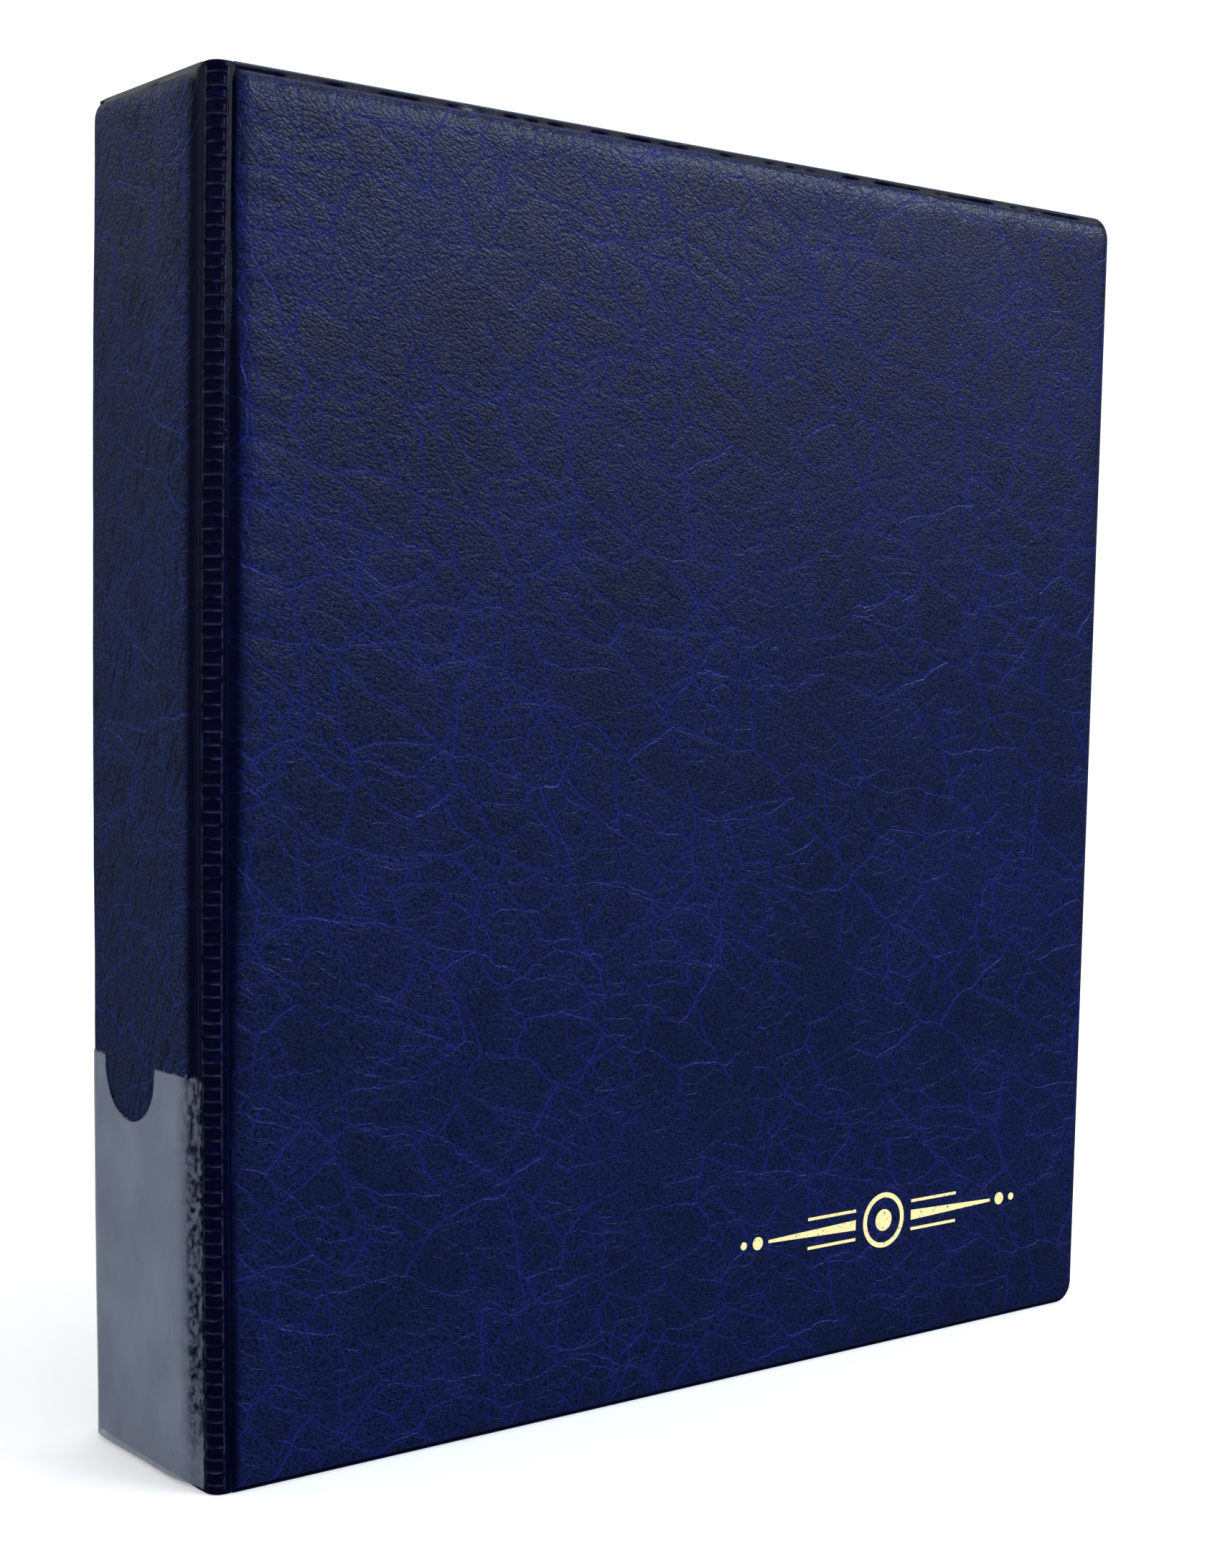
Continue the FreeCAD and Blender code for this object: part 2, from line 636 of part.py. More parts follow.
def carrier_blade(label, start):
    """Flat blade that carries one side of the rings and tilts about its outer edge."""
    body = new_body(label)
    width = "(Sizes.housing_width - Sizes.blade_gap) / 2 - Sizes.blade_margin"
    primitive(
        body,
        "AdditiveBox",
        {"Length": width, "Width": "Sizes.blade_gauge", "Height": "Sizes.blade_length"},
        x=start,
        y="Sizes.blade_lift",
        z="-Sizes.blade_length / 2",
    )
    for offset in RIVET_OFFSETS:
        primitive(
            body,
            "SubtractiveCylinder",
            {"Radius": "Sizes.rivet_relief / 2", "Height": "2 * Sizes.housing_crown"},
            x="Sizes.housing_width / 2",
            z=offset,
            turn=ALONG_Y,
        )
    place_mechanism(body)
    return body


def ring_post(label, offset):
    """Straight side of a ring, where the pages hang."""
    body = new_body(label)
    length = f"Sizes.ring_height - Sizes.ring_corner - Sizes.ring_split - {BLADE_TOP}"
    shaft = primitive(
        body,
        "AdditiveCylinder",
        {"Radius": "Sizes.wire_diameter / 2", "Height": length},
        x=POST_X,
        y=BLADE_TOP,
        turn=ALONG_Y,
    )
    tip = shaft.Shape.BoundBox.YMax
    finish_edges(
        body, "Chamfer", shaft, lambda edge: lies_at(edge, "Y", tip),
        "Size", "Sizes.ring_tip_chamfer",
    )
    place_mechanism(body, offset)
    return body


def ring_arc(label, offset):
    """Curved side of a ring, bent from one wire, from its blade over to the post's tip."""
    body = new_body(label)
    path = new_sketch(body, "XY_Plane")
    foot = line(path, (6.7, 2), (6.7, 4))
    root = arc(path, (3.7, 4), 3, 0, 55.6)
    large = arc(path, (15, 20.5), 17, 90, 235.6)
    bridge = line(path, (15, 37.5), (16.5, 37.5))
    corner = arc(path, (16.5, 31.5), 6, 0, 90)
    relate(
        path,
        ("Vertical", foot),
        ("Tangent", foot, 2, root, 1),
        ("Tangent", root, 2, large, 2),
        ("Tangent", large, 1, bridge, 1),
        ("Horizontal", bridge),
        ("Tangent", bridge, 2, corner, 2),
        ("Horizontal", corner, 3, corner, 1),
    )
    dimension(path, "DistanceY", (-1, 1, foot, 1), "foot_bottom", BLADE_TOP)
    dimension(path, "DistanceY", (-1, 1, foot, 2), "foot_top", "Sizes.ring_root_top")
    dimension(path, "Radius", (root,), "root", "Sizes.ring_root_radius")
    dimension(path, "Radius", (large,), "large", "Sizes.ring_radius")
    dimension(path, "DistanceX", (-1, 1, large, 3), "centre_across", "Sizes.ring_centre")
    dimension(path, "DistanceY", (-1, 1, large, 3), "centre_up",
              "Sizes.ring_height - Sizes.ring_radius")
    dimension(path, "Radius", (corner,), "corner", "Sizes.ring_corner")
    dimension(path, "DistanceX", (-1, 1, corner, 1), "post", POST_X)
    profile = new_sketch(body, "XZ_Plane", f"-{BLADE_TOP}")
    section = profile.addGeometry(Part.Circle(Vector(6.7, 0, 0), Vector(0, 0, 1), 1.5), False)
    dimension(profile, "Radius", (section,), "wire", "Sizes.wire_diameter / 2")
    dimension(profile, "DistanceX", (-1, 1, section, 3), "across", FOOT_X)
    relate(profile, ("PointOnObject", section, 3, -1))
    doc.recompute()
    wire = body.newObject("PartDesign::AdditivePipe", label + "_wire")
    wire.Profile = profile
    wire.Spine = (path, [f"Edge{i + 1}" for i in range(5)])
    doc.recompute()
    place_mechanism(body, offset)
    return body


def mounting_rivet(label, offset):
    """Rivet through the back cover and the housing, with its large head outside."""
    body = new_body(label)
    length = f"Sizes.panel_rise + {WELD_GAUGE} + Sizes.housing_crown"
    head = primitive(
        body,
        "AdditiveCylinder",
        {"Radius": "Sizes.rivet_head_diameter / 2", "Height": "Sizes.rivet_head_height"},
        z="-Sizes.rivet_head_height",
    )
    outer_face = head.Shape.BoundBox.ZMin
    finish_edges(
        body, "Fillet", head, lambda edge: lies_at(edge, "Z", outer_face),
        "Radius", "Sizes.rivet_head_height * 0.8",
    )
    primitive(
        body, "AdditiveCylinder", {"Radius": "Sizes.rivet_diameter / 2", "Height": length},
    )
    primitive(
        body,
        "AdditiveCylinder",
        {"Radius": "Sizes.rivet_flare_diameter / 2", "Height": "Sizes.rivet_flare_height"},
        z=length,
    )
    place(body, HOUSING_X, f"{BACK_Y} + Sizes.panel_rise", f"{MIDDLE_Z} + {offset}",
          QUARTER_TURN_X)
    return body


def trigger(label, end, turn):
    """Lever at one end of the mechanism: a hub, a tongue under the blades and a finger tab.

    Local X is along the hub, local Y is up from the cover and local Z is out of the housing.
    """
    body = new_body(label)
    primitive(
        body,
        "AdditiveCylinder",
        {"Radius": "Sizes.hub_diameter / 2", "Height": "Sizes.hub_length"},
        x="-Sizes.hub_length / 2",
        turn=ALONG_X,
    )
    primitive(
        body,
        "AdditiveBox",
        {"Length": "Sizes.tongue_width", "Width": "Sizes.tongue_gauge",
         "Height": "Sizes.tongue_length"},
        x="-Sizes.tongue_width / 2",
        y="-Sizes.tongue_drop",
        z="-Sizes.tongue_length",
    )
    tab = primitive(
        body,
        "AdditiveBox",
        {
            "Length": "Sizes.trigger_width",
            "Width": "Sizes.trigger_gauge",
            "Height": "Sizes.trigger_length",
            "Placement.Rotation.Angle": "-Sizes.trigger_tilt",
        },
        x="-Sizes.trigger_width / 2",
        y="-Sizes.trigger_gauge / 2 * cos(Sizes.trigger_tilt)",
        z="Sizes.trigger_gauge / 2 * sin(Sizes.trigger_tilt)",
        turn=Rotation(Vector(1, 0, 0), -float(sizes.trigger_tilt)),
    )
    gauge = float(sizes.trigger_gauge)
    far = float(sizes.trigger_length) / 2

    def is_tab_corner(edge):
        return abs(edge.Length - gauge) < 0.01 and edge.CenterOfMass.Length > far

    finish_edges(body, "Fillet", tab, is_tab_corner, "Radius", "Sizes.trigger_corner")
    reach = f"{end} * (Sizes.housing_length / 2 - Sizes.hub_setback)"
    place(body, HOUSING_X, f"{BACK_LINER_Y} - Sizes.hub_lift", f"{MIDDLE_Z} + {reach}", turn)
    return body


# Coin pages. Each hangs on the posts by a punched strip, and its pocket field bends at a crease.


def place_page(body, number, across="0"):
    lift = f"Sizes.page_lift + {number - 1} * Sizes.page_pitch"
    place(body, f"{PAGE_X} + {across}", f"{BACK_LINER_Y} - ({lift})", PAGE_Z)


def page_strip(number):
    body = new_body(f"page_{number}_strip")
    sketch = new_sketch(body, "XZ_Plane")
    draw_outline(sketch, "0", "Sizes.strip_width", "0", "Sizes.page_height")
    pad(body, sketch, "Sizes.strip_gauge", midplane=True)
    punch = new_sketch(body, "XZ_Plane")
    for index, offset in enumerate(RING_OFFSETS):
        across = float(punch.evalExpression("Sizes.strip_width / 2"))
        up = float(punch.evalExpression(f"Sizes.page_height / 2 + {offset}"))
        radius = float(punch.evalExpression("Sizes.hole_diameter / 2"))
        circle = Part.Circle(Vector(across, up, 0), Vector(0, 0, 1), radius)
        hole = punch.addGeometry(circle, False)
        dimension(punch, "Radius", (hole,), f"hole_{index}", "Sizes.hole_diameter / 2")
        dimension(punch, "DistanceX", (-1, 1, hole, 3), f"across_{index}",
                  "Sizes.strip_width / 2")
        dimension(punch, "DistanceY", (-1, 1, hole, 3), f"up_{index}",
                  f"Sizes.page_height / 2 + {offset}")
    pocket(body, punch, "2 * Sizes.strip_gauge", midplane=True)
    place_page(body, number)
    return body


def page_leaf(number):
    body = new_body(f"page_{number}_leaf")
    sketch = new_sketch(body, "XZ_Plane")
    width = "Sizes.page_width - Sizes.strip_width - Sizes.leaf_gap"
    draw_outline(sketch, "0", width, "0", "Sizes.page_height", "Sizes.page_corner")
    pad(body, sketch, "Sizes.leaf_gauge", midplane=True)
    place_page(body, number, "Sizes.strip_width + Sizes.leaf_gap")
    return body


def make_case():
    made = []
    for side, place_side, riveted in (
        ("front", place_front, False),
        ("back", place_back, True),
    ):
        panels = [
            outer_skin(f"{side}_outer_skin", COVER, riveted),
            board(f"{side}_board", COVER, riveted),
            inner_liner(f"{side}_inner_liner", COVER, riveted),
            hinge_weld(f"{side}_hinge_weld"),
        ]
        for body in panels:
            place_side(body)
        made += panels
    spine_panels = [
        outer_skin("spine_outer_skin", SPINE),
        board("spine_board", SPINE),
        inner_liner("spine_inner_liner", SPINE),
    ]
    for body in spine_panels:
        place_spine(body)
    return made + spine_panels + [label_pocket(), foil_ornament()]


def make_mechanism():
    right_start = "(Sizes.housing_width + Sizes.blade_gap) / 2"
    made = [
        ring_housing(),
        carrier_blade("arc_carrier_blade", "Sizes.blade_margin"),
        carrier_blade("post_carrier_blade", right_start),
        mounting_rivet("lower_mounting_rivet", RIVET_OFFSETS[0]),
        mounting_rivet("upper_mounting_rivet", RIVET_OFFSETS[1]),
        trigger("lower_trigger", -1, HALF_TURN_X),
        trigger("upper_trigger", 1, HALF_TURN_Z),
    ]
    for number, offset in enumerate(RING_OFFSETS, start=1):
        made.append(ring_post(f"ring_{number}_post", offset))
        made.append(ring_arc(f"ring_{number}_arc", offset))
    return made


def make_pages():
    made = []
    for number in range(1, PAGE_COUNT + 1):
        made.append(page_strip(number))
        made.append(page_leaf(number))
    return made


def check_and_write(sub_parts):
    """Stop on a failed object or a bad shape, then write each sub-part to its own file."""
    doc.recompute()
    for thing in doc.Objects:
        if "Invalid" in thing.State or "Error" in thing.State:
            raise RuntimeError(f"{thing.Label} failed: {thing.State}")
    for sub_part in sub_parts:
        shape = sub_part.Shape
        if shape.isNull() or not shape.isValid() or not shape.Solids:
            raise RuntimeError(f"{sub_part.Label} has no valid solid")
    os.makedirs("parts", exist_ok=True)
    for sub_part in sub_parts:
        sub_part.Shape.exportStep(f"parts/{sub_part.Label}.step")
        box = sub_part.Shape.BoundBox
        corners = [box.XMin, box.XMax, box.YMin, box.YMax, box.ZMin, box.ZMax]
        print(f"{sub_part.Label:22s}", len(sub_part.Shape.Solids), [round(v, 2) for v in corners])


check_and_write(make_case() + make_mechanism() + make_pages())
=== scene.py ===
import math

import bpy
import numpy as np
from mathutils import Matrix, Vector, noise


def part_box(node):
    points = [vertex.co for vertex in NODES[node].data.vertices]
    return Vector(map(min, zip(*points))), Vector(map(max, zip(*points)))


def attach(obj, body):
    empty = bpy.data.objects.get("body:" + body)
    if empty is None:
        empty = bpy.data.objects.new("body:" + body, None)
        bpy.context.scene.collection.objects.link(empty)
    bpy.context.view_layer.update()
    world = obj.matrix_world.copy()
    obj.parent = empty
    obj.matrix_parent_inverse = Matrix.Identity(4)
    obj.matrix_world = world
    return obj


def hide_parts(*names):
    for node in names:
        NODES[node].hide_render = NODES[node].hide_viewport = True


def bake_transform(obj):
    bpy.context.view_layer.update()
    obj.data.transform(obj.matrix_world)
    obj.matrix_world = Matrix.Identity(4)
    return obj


# Looks of a ring album for coin pages, standing closed on its bottom edge.
# Lengths are in millimetres up to make_piece(), which turns them into metres.

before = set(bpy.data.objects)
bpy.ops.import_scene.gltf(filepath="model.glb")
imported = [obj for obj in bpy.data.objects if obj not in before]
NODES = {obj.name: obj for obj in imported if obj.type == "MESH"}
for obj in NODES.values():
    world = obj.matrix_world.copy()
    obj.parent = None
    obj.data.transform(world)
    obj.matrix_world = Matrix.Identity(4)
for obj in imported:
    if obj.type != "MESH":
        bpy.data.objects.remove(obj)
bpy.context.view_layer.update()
MM = 0.001

# ---------------------------------------------------------------- places read from the CAD frame


def node_box(name):
    low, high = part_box(name)
    return np.array(low) / MM, np.array(high) / MM


PANEL_RISE = 1.6  # a panel above its welded rim
WELD = 0.8  # both vinyl layers, at a rim
front_low, front_high = node_box("front_outer_skin")
back_low, back_high = node_box("back_outer_skin")
spine_low, spine_high = node_box("spine_outer_skin")
film_low, film_high = node_box("spine_label_pocket")
HEIGHT = front_high[2]
FORE_EDGE = front_high[0]
FRONT_RIM = front_low[1] + PANEL_RISE
BACK_RIM = back_high[1] - PANEL_RISE
SPINE_RIM = spine_low[0] + PANEL_RISE
CORNER_RADIUS = spine_low[1] - FRONT_RIM  # outside of the rounded case corner
CORNER_X = SPINE_RIM + CORNER_RADIUS  # centre line of both rounded corners
FRONT_CORNER_Y = FRONT_RIM + CORNER_RADIUS
BACK_CORNER_Y = BACK_RIM - CORNER_RADIUS
CORNER_POWER = 3.0  # of the superellipse that the ladder follows round the corner
BOW = 0.9  # of the spine, half-way between its start and the head
BOW_START = 10.0  # height where the bow starts
LEAN = 0.64  # of the spine's back edge past its front edge
SETTLE_REACH = 17.0  # how far into the covers the bow and the lean fade out

# ---------------------------------------------------------------- meshes


def smooth_step(x, start, end):
    t = np.clip((np.asarray(x, float) - start) / (end - start), 0, 1)
    return t * t * (3 - 2 * t)


def settle(points):
    """The case's bowed and leaning spine, fading out inside the covers."""
    points = np.array(points, float)
    x, y, z = points.T
    middle, reach = (HEIGHT + BOW_START) / 2, (HEIGHT - BOW_START) / 2
    bow = BOW * np.clip(1 - ((z - middle) / reach) ** 2, 0, 1)
    lean = LEAN * (y - FRONT_RIM) / (BACK_RIM - FRONT_RIM)
    points[:, 0] -= (bow + lean) * (1 - smooth_step(x, CORNER_X, CORNER_X + SETTLE_REACH))
    return points


def corner_place(centre_y, side, turn, lift):
    """Place round a case corner: turn in radians from the spine's side, lift off the vinyl."""
    c, s = np.cos(turn), np.sin(turn)
    bulge = (np.abs(c) ** CORNER_POWER + np.abs(s) ** CORNER_POWER) ** (1 / CORNER_POWER)
    r = CORNER_RADIUS / bulge + lift
    return CORNER_X - r * c, centre_y + side * r * s


def rows_of(*columns):
    return np.column_stack([np.ravel(column) for column in columns])


def quads(grid):
    """The square faces of a grid of vertex numbers."""
    return rows_of(grid[:-1, :-1], grid[:-1, 1:], grid[1:, 1:], grid[1:, :-1]).tolist()


def flipped(faces):
    return [face[::-1] for face in faces]


def on_sheet(across, up):
    """Places on the flat vinyl or film, which the materials read."""
    return rows_of(across, up, np.zeros(np.size(up)))


def paint(mesh, name, kind, field, values):
    layer = mesh.attributes.new(name, kind, "POINT")
    layer.data.foreach_set(field, np.asarray(values, np.float32).ravel())


def make_piece(name, points, faces, body, material, sheet, zone, sharp=40, wear_and_highlight=None):
    """A mesh piece from points in millimetres.

    sheet is each vertex's place on the flat sheet; zone how smooth it is there, how dark with
    painted shade and, at an outer edge, how teal with a painted highlight; and the last argument
    how pale its ridges are with a painted highlight. sharp is the angle in degrees past which an
    edge isn't smoothed.
    """
    mesh = bpy.data.meshes.new(name)
    mesh.from_pydata((settle(points) * MM).tolist(), [], faces)
    mesh.update()
    mesh.validate()
    paint(mesh, "sheet", "FLOAT_VECTOR", "vector", sheet)
    paint(mesh, "zone", "FLOAT", "value", zone)
    if wear_and_highlight is not None:
        paint(mesh, "wear_and_highlight", "FLOAT", "value", wear_and_highlight)
    mesh.materials.append(material)
    mesh.shade_smooth()
    mesh.set_sharp_from_angle(angle=math.radians(sharp))
    piece = bpy.data.objects.new(name, mesh)
    bpy.context.scene.collection.objects.link(piece)
    if body:
        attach(piece, body)
    return piece


def ripple(points, scale, seed, octaves=2):
    """Smooth noise from -1 to 1 at each point, with features about scale wide."""
    out = np.empty(len(points))
    for i, p in enumerate(points):
        at = Vector((p[0] / scale, p[1] / scale, seed))
        out[i] = noise.fractal(at, 1.0, 2.0, octaves)
    return out


def corner_path(centre, side_a, side_b, radius, straight, curved):
    """Points round a corner, from (centre[0], side_b) to (side_a, centre[1]), without the ends.

    straight and curved are the numbers of points on each straight part and on the arc.
    """
    start = np.array([centre[0], side_b])
    end = np.array([side_a, centre[1]])
    corner = np.array([side_a, side_b])
    reach = min(abs(corner[0] - start[0]), abs(end[1] - corner[1]))
    r = max(min(radius, 0.96 * reach), 0.02)
    first = corner + (start - corner) / max(np.linalg.norm(start - corner), 1e-9) * r
    second = corner + (end - corner) / max(np.linalg.norm(end - corner), 1e-9) * r
    middle = first + second - corner
    path = [start + (first - start) * k / straight for k in range(1, straight + 1)]
    for k in range(1, curved + 1):
        turn = math.pi / 2 * k / curved
        path.append(middle + (first - middle) * math.cos(turn) + (second - middle) * math.sin(turn))
    path += [second + (end - second) * k / straight for k in range(1, straight)]
    return path


def wrapped_board(width, height, levels, grid_insets, cell, corner_radii):
    """Closed panel with a rim: points as (across, up, rise), faces, and each vertex's level.

    levels run from the back's edge to the plateau, each (left, right, edge, rise).
    grid_insets are the left, right and edge offsets where the plateau's grid starts.
    """
    left, right, edge = grid_insets
    columns = np.linspace(left, width - right, max(2, round((width - left - right) / cell)) + 1)
    rows = np.linspace(edge, height - edge, max(2, round((height - 2 * edge) / cell)) + 1)
    across, up = np.meshgrid(columns, rows)
    nc, nr = len(columns), len(rows)
    points = [rows_of(across, up, np.full(nc * nr, levels[-1][3]))]
    level_of = [np.full(nc * nr, len(levels))]
    index = np.arange(nc * nr).reshape(nr, nc)
    faces = quads(index)
    straight, curved = 2, 6
    spare = 2 * straight + curved - 1
    loop = (
        index[0, :].tolist() + [index[0, -1]] * spare
        + index[:, -1].tolist() + [index[-1, -1]] * spare
        + index[-1, ::-1].tolist() + [index[-1, 0]] * spare
        + index[::-1, 0].tolist() + [index[0, 0]] * spare
    )
    total = nc * nr
    for number in range(len(levels) - 1, -1, -1):
        l, r, e, rise = levels[number][:4]
        radius_left, radius_right = corner_radii(e)
        low_left, low_right = (left, edge), (width - right, edge)
        high_left, high_right = (left, height - edge), (width - right, height - edge)
        ring = [(a, e) for a in columns]
        ring += corner_path(low_right, width - r, e, radius_right, straight, curved)
        ring += [(width - r, b) for b in rows]
        ring += corner_path(high_right, width - r, height - e, radius_right, straight, curved)[::-1]
        ring += [(a, height - e) for a in columns[::-1]]
        ring += corner_path(high_left, l, height - e, radius_left, straight, curved)
        ring += [(l, b) for b in rows[::-1]]
        ring += corner_path(low_left, l, e, radius_left, straight, curved)[::-1]
        here = list(range(total, total + len(ring)))
        points.append(np.column_stack([ring, np.full(len(ring), rise)]))
        level_of.append(np.full(len(ring), number))
        for k in range(len(ring)):
            n = (k + 1) % len(ring)
            face = [here[k], here[n]] + ([loop[n], loop[k]] if loop[n] != loop[k] else [loop[k]])
            faces.append(face)
        total += len(ring)
        loop = here
    # flat back: long strips between the two sides, and one cap at each end
    right_at = nc + spare
    left_at = right_at + nr + spare + nc + spare
    right_side = loop[right_at:right_at + nr]
    left_side = loop[left_at:left_at + nr][::-1]
    for j in range(nr - 1):
        faces.append([left_side[j], left_side[j + 1], right_side[j + 1], right_side[j]])
    low_cap = loop[left_at + nr - 1:] + loop[:right_at + 1]
    high_cap = loop[right_at + nr - 1:left_at + 1]
    faces.append(low_cap[::-1])
    faces.append(high_cap[::-1])
    return np.vstack(points), faces, np.concatenate(level_of)


# ---------------------------------------------------------------- node helpers


class Graph:
    """Short names for the nodes used here. A value is a socket, a number or a vector."""

    def __init__(self, tree, shader=None):
        self.tree = tree
        self.shader = shader

    def put(self, value, socket):
        if isinstance(value, bpy.types.NodeSocket):
            self.tree.links.new(value, socket)
        else:
            socket.default_value = value

    def add(self, kind, inputs=None, output=0, **settings):
        """One output of a new node. inputs holds the values of its sockets."""
        made = self.tree.nodes.new("ShaderNode" + kind)
        for key, value in settings.items():
            setattr(made, key, value)
        for socket, value in (inputs or {}).items():
            self.put(value, made.inputs[socket])
        return made.outputs[output]

    def surface(self, values):
        for socket, value in values.items():
            self.put(value, self.shader.inputs[socket])

    def math(self, operation, a, b, clamp=False):
        return self.add("Math", {0: a, 1: b}, operation=operation, use_clamp=clamp)

    def times(self, a, b):
        return self.math("MULTIPLY", a, b)

    def plus(self, a, b, clamp=False):
        return self.math("ADD", a, b, clamp)

    def minus(self, a, b):
        return self.math("SUBTRACT", a, b)

    def larger(self, a, b):
        return self.math("MAXIMUM", a, b)

    def vector(self, operation, a, b):
        return self.add("VectorMath", {0: a, "Scale" if operation == "SCALE" else 1: b},
                        operation=operation)

    def attribute(self, name, output):
        return self.add("Attribute", output=output, attribute_name=name)

    def mapping(self, vector, turn=0.0, scale=(1.0, 1.0, 1.0), shift=(0.0, 0.0, 0.0)):
        """vector turned by turn degrees, then divided by scale along each axis."""
        spun = self.add("VectorRotate", {"Vector": vector, "Angle": math.radians(turn)},
                        rotation_type="Z_AXIS")
        return self.add("Mapping", {
            "Vector": spun, "Scale": [1 / s for s in scale], "Location": shift})

    def noise(self, vector, detail=2.0, roughness=0.5, output="Fac"):
        inputs = {"Vector": vector, "Scale": 1.0, "Detail": detail, "Roughness": roughness}
        return self.add("TexNoise", inputs, output, noise_dimensions="2D")

    def voronoi(self, vector, feature="DISTANCE_TO_EDGE"):
        return self.add("TexVoronoi", {"Vector": vector, "Scale": 1.0}, "Distance",
                        voronoi_dimensions="2D", feature=feature)

    def step(self, value, low, high, to_low=0.0, to_high=1.0):
        return self.add("MapRange", {
            "Value": value, "From Min": low, "From Max": high, "To Min": to_low, "To Max": to_high,
        }, interpolation_type="SMOOTHSTEP")

    def mix(self, factor, a, b):
        return self.add("Mix", {"Factor": factor, 6: a, 7: b}, 2, data_type="RGBA")

    def blend(self, factor, a, b):
        return self.add("Mix", {"Factor": factor, 2: a, 3: b}, data_type="FLOAT")

    def bump(self, height, depth):
        return self.add("Bump", {"Height": height, "Distance": depth, "Strength": 1.0})


def new_material(name):
    material = bpy.data.materials.new(name)
    material.use_nodes = True
    tree = material.node_tree
    tree.nodes.clear()
    output = tree.nodes.new("ShaderNodeOutputMaterial")
    shader = tree.nodes.new("ShaderNodeBsdfPrincipled")
    tree.links.new(shader.outputs[0], output.inputs[0])
    return material, Graph(tree, shader)


def rgb(red, green, blue):
    return (red, green, blue, 1.0)


# ---------------------------------------------------------------- materials


def near_line(g, distance, core, halo):
    """1 on a line and falling to 0 at the core's and the halo's reach, in the distance's unit."""
    return g.step(distance, core * 0.2, core, 1.0, 0.0), g.step(distance, 0.0, halo, 1.0, 0.0)


def creases(g, vector, size, turn, seed, core, halo, fade_size, fade):
    """Lines between stretched cells, fading in and out over the sheet, and their soft halo."""
    cells = g.mapping(vector, turn, (size[0], size[1], 1.0), (seed, seed * 0.7, 0.0))
    line, glow = near_line(g, g.voronoi(cells), core / size[1], halo / size[1])
    patches = g.noise(g.mapping(vector, 0, (fade_size, fade_size, 1.0), (seed * 3.1, seed, 0.0)))
    present = g.step(patches, fade[0], fade[1])
    return g.times(line, present), g.times(glow, present)


def bend(g, vector, size, amount, seed=0.0):
    """vector moved about by smooth noise of the given feature size."""
    drift = g.noise(g.mapping(vector, 0, (size, size, 1), (seed, seed * 0.3, 0)), output="Color")
    centred = g.vector("SUBTRACT", drift, (0.5, 0.5, 0.5))
    return g.vector("ADD", vector, g.vector("SCALE", centred, amount))


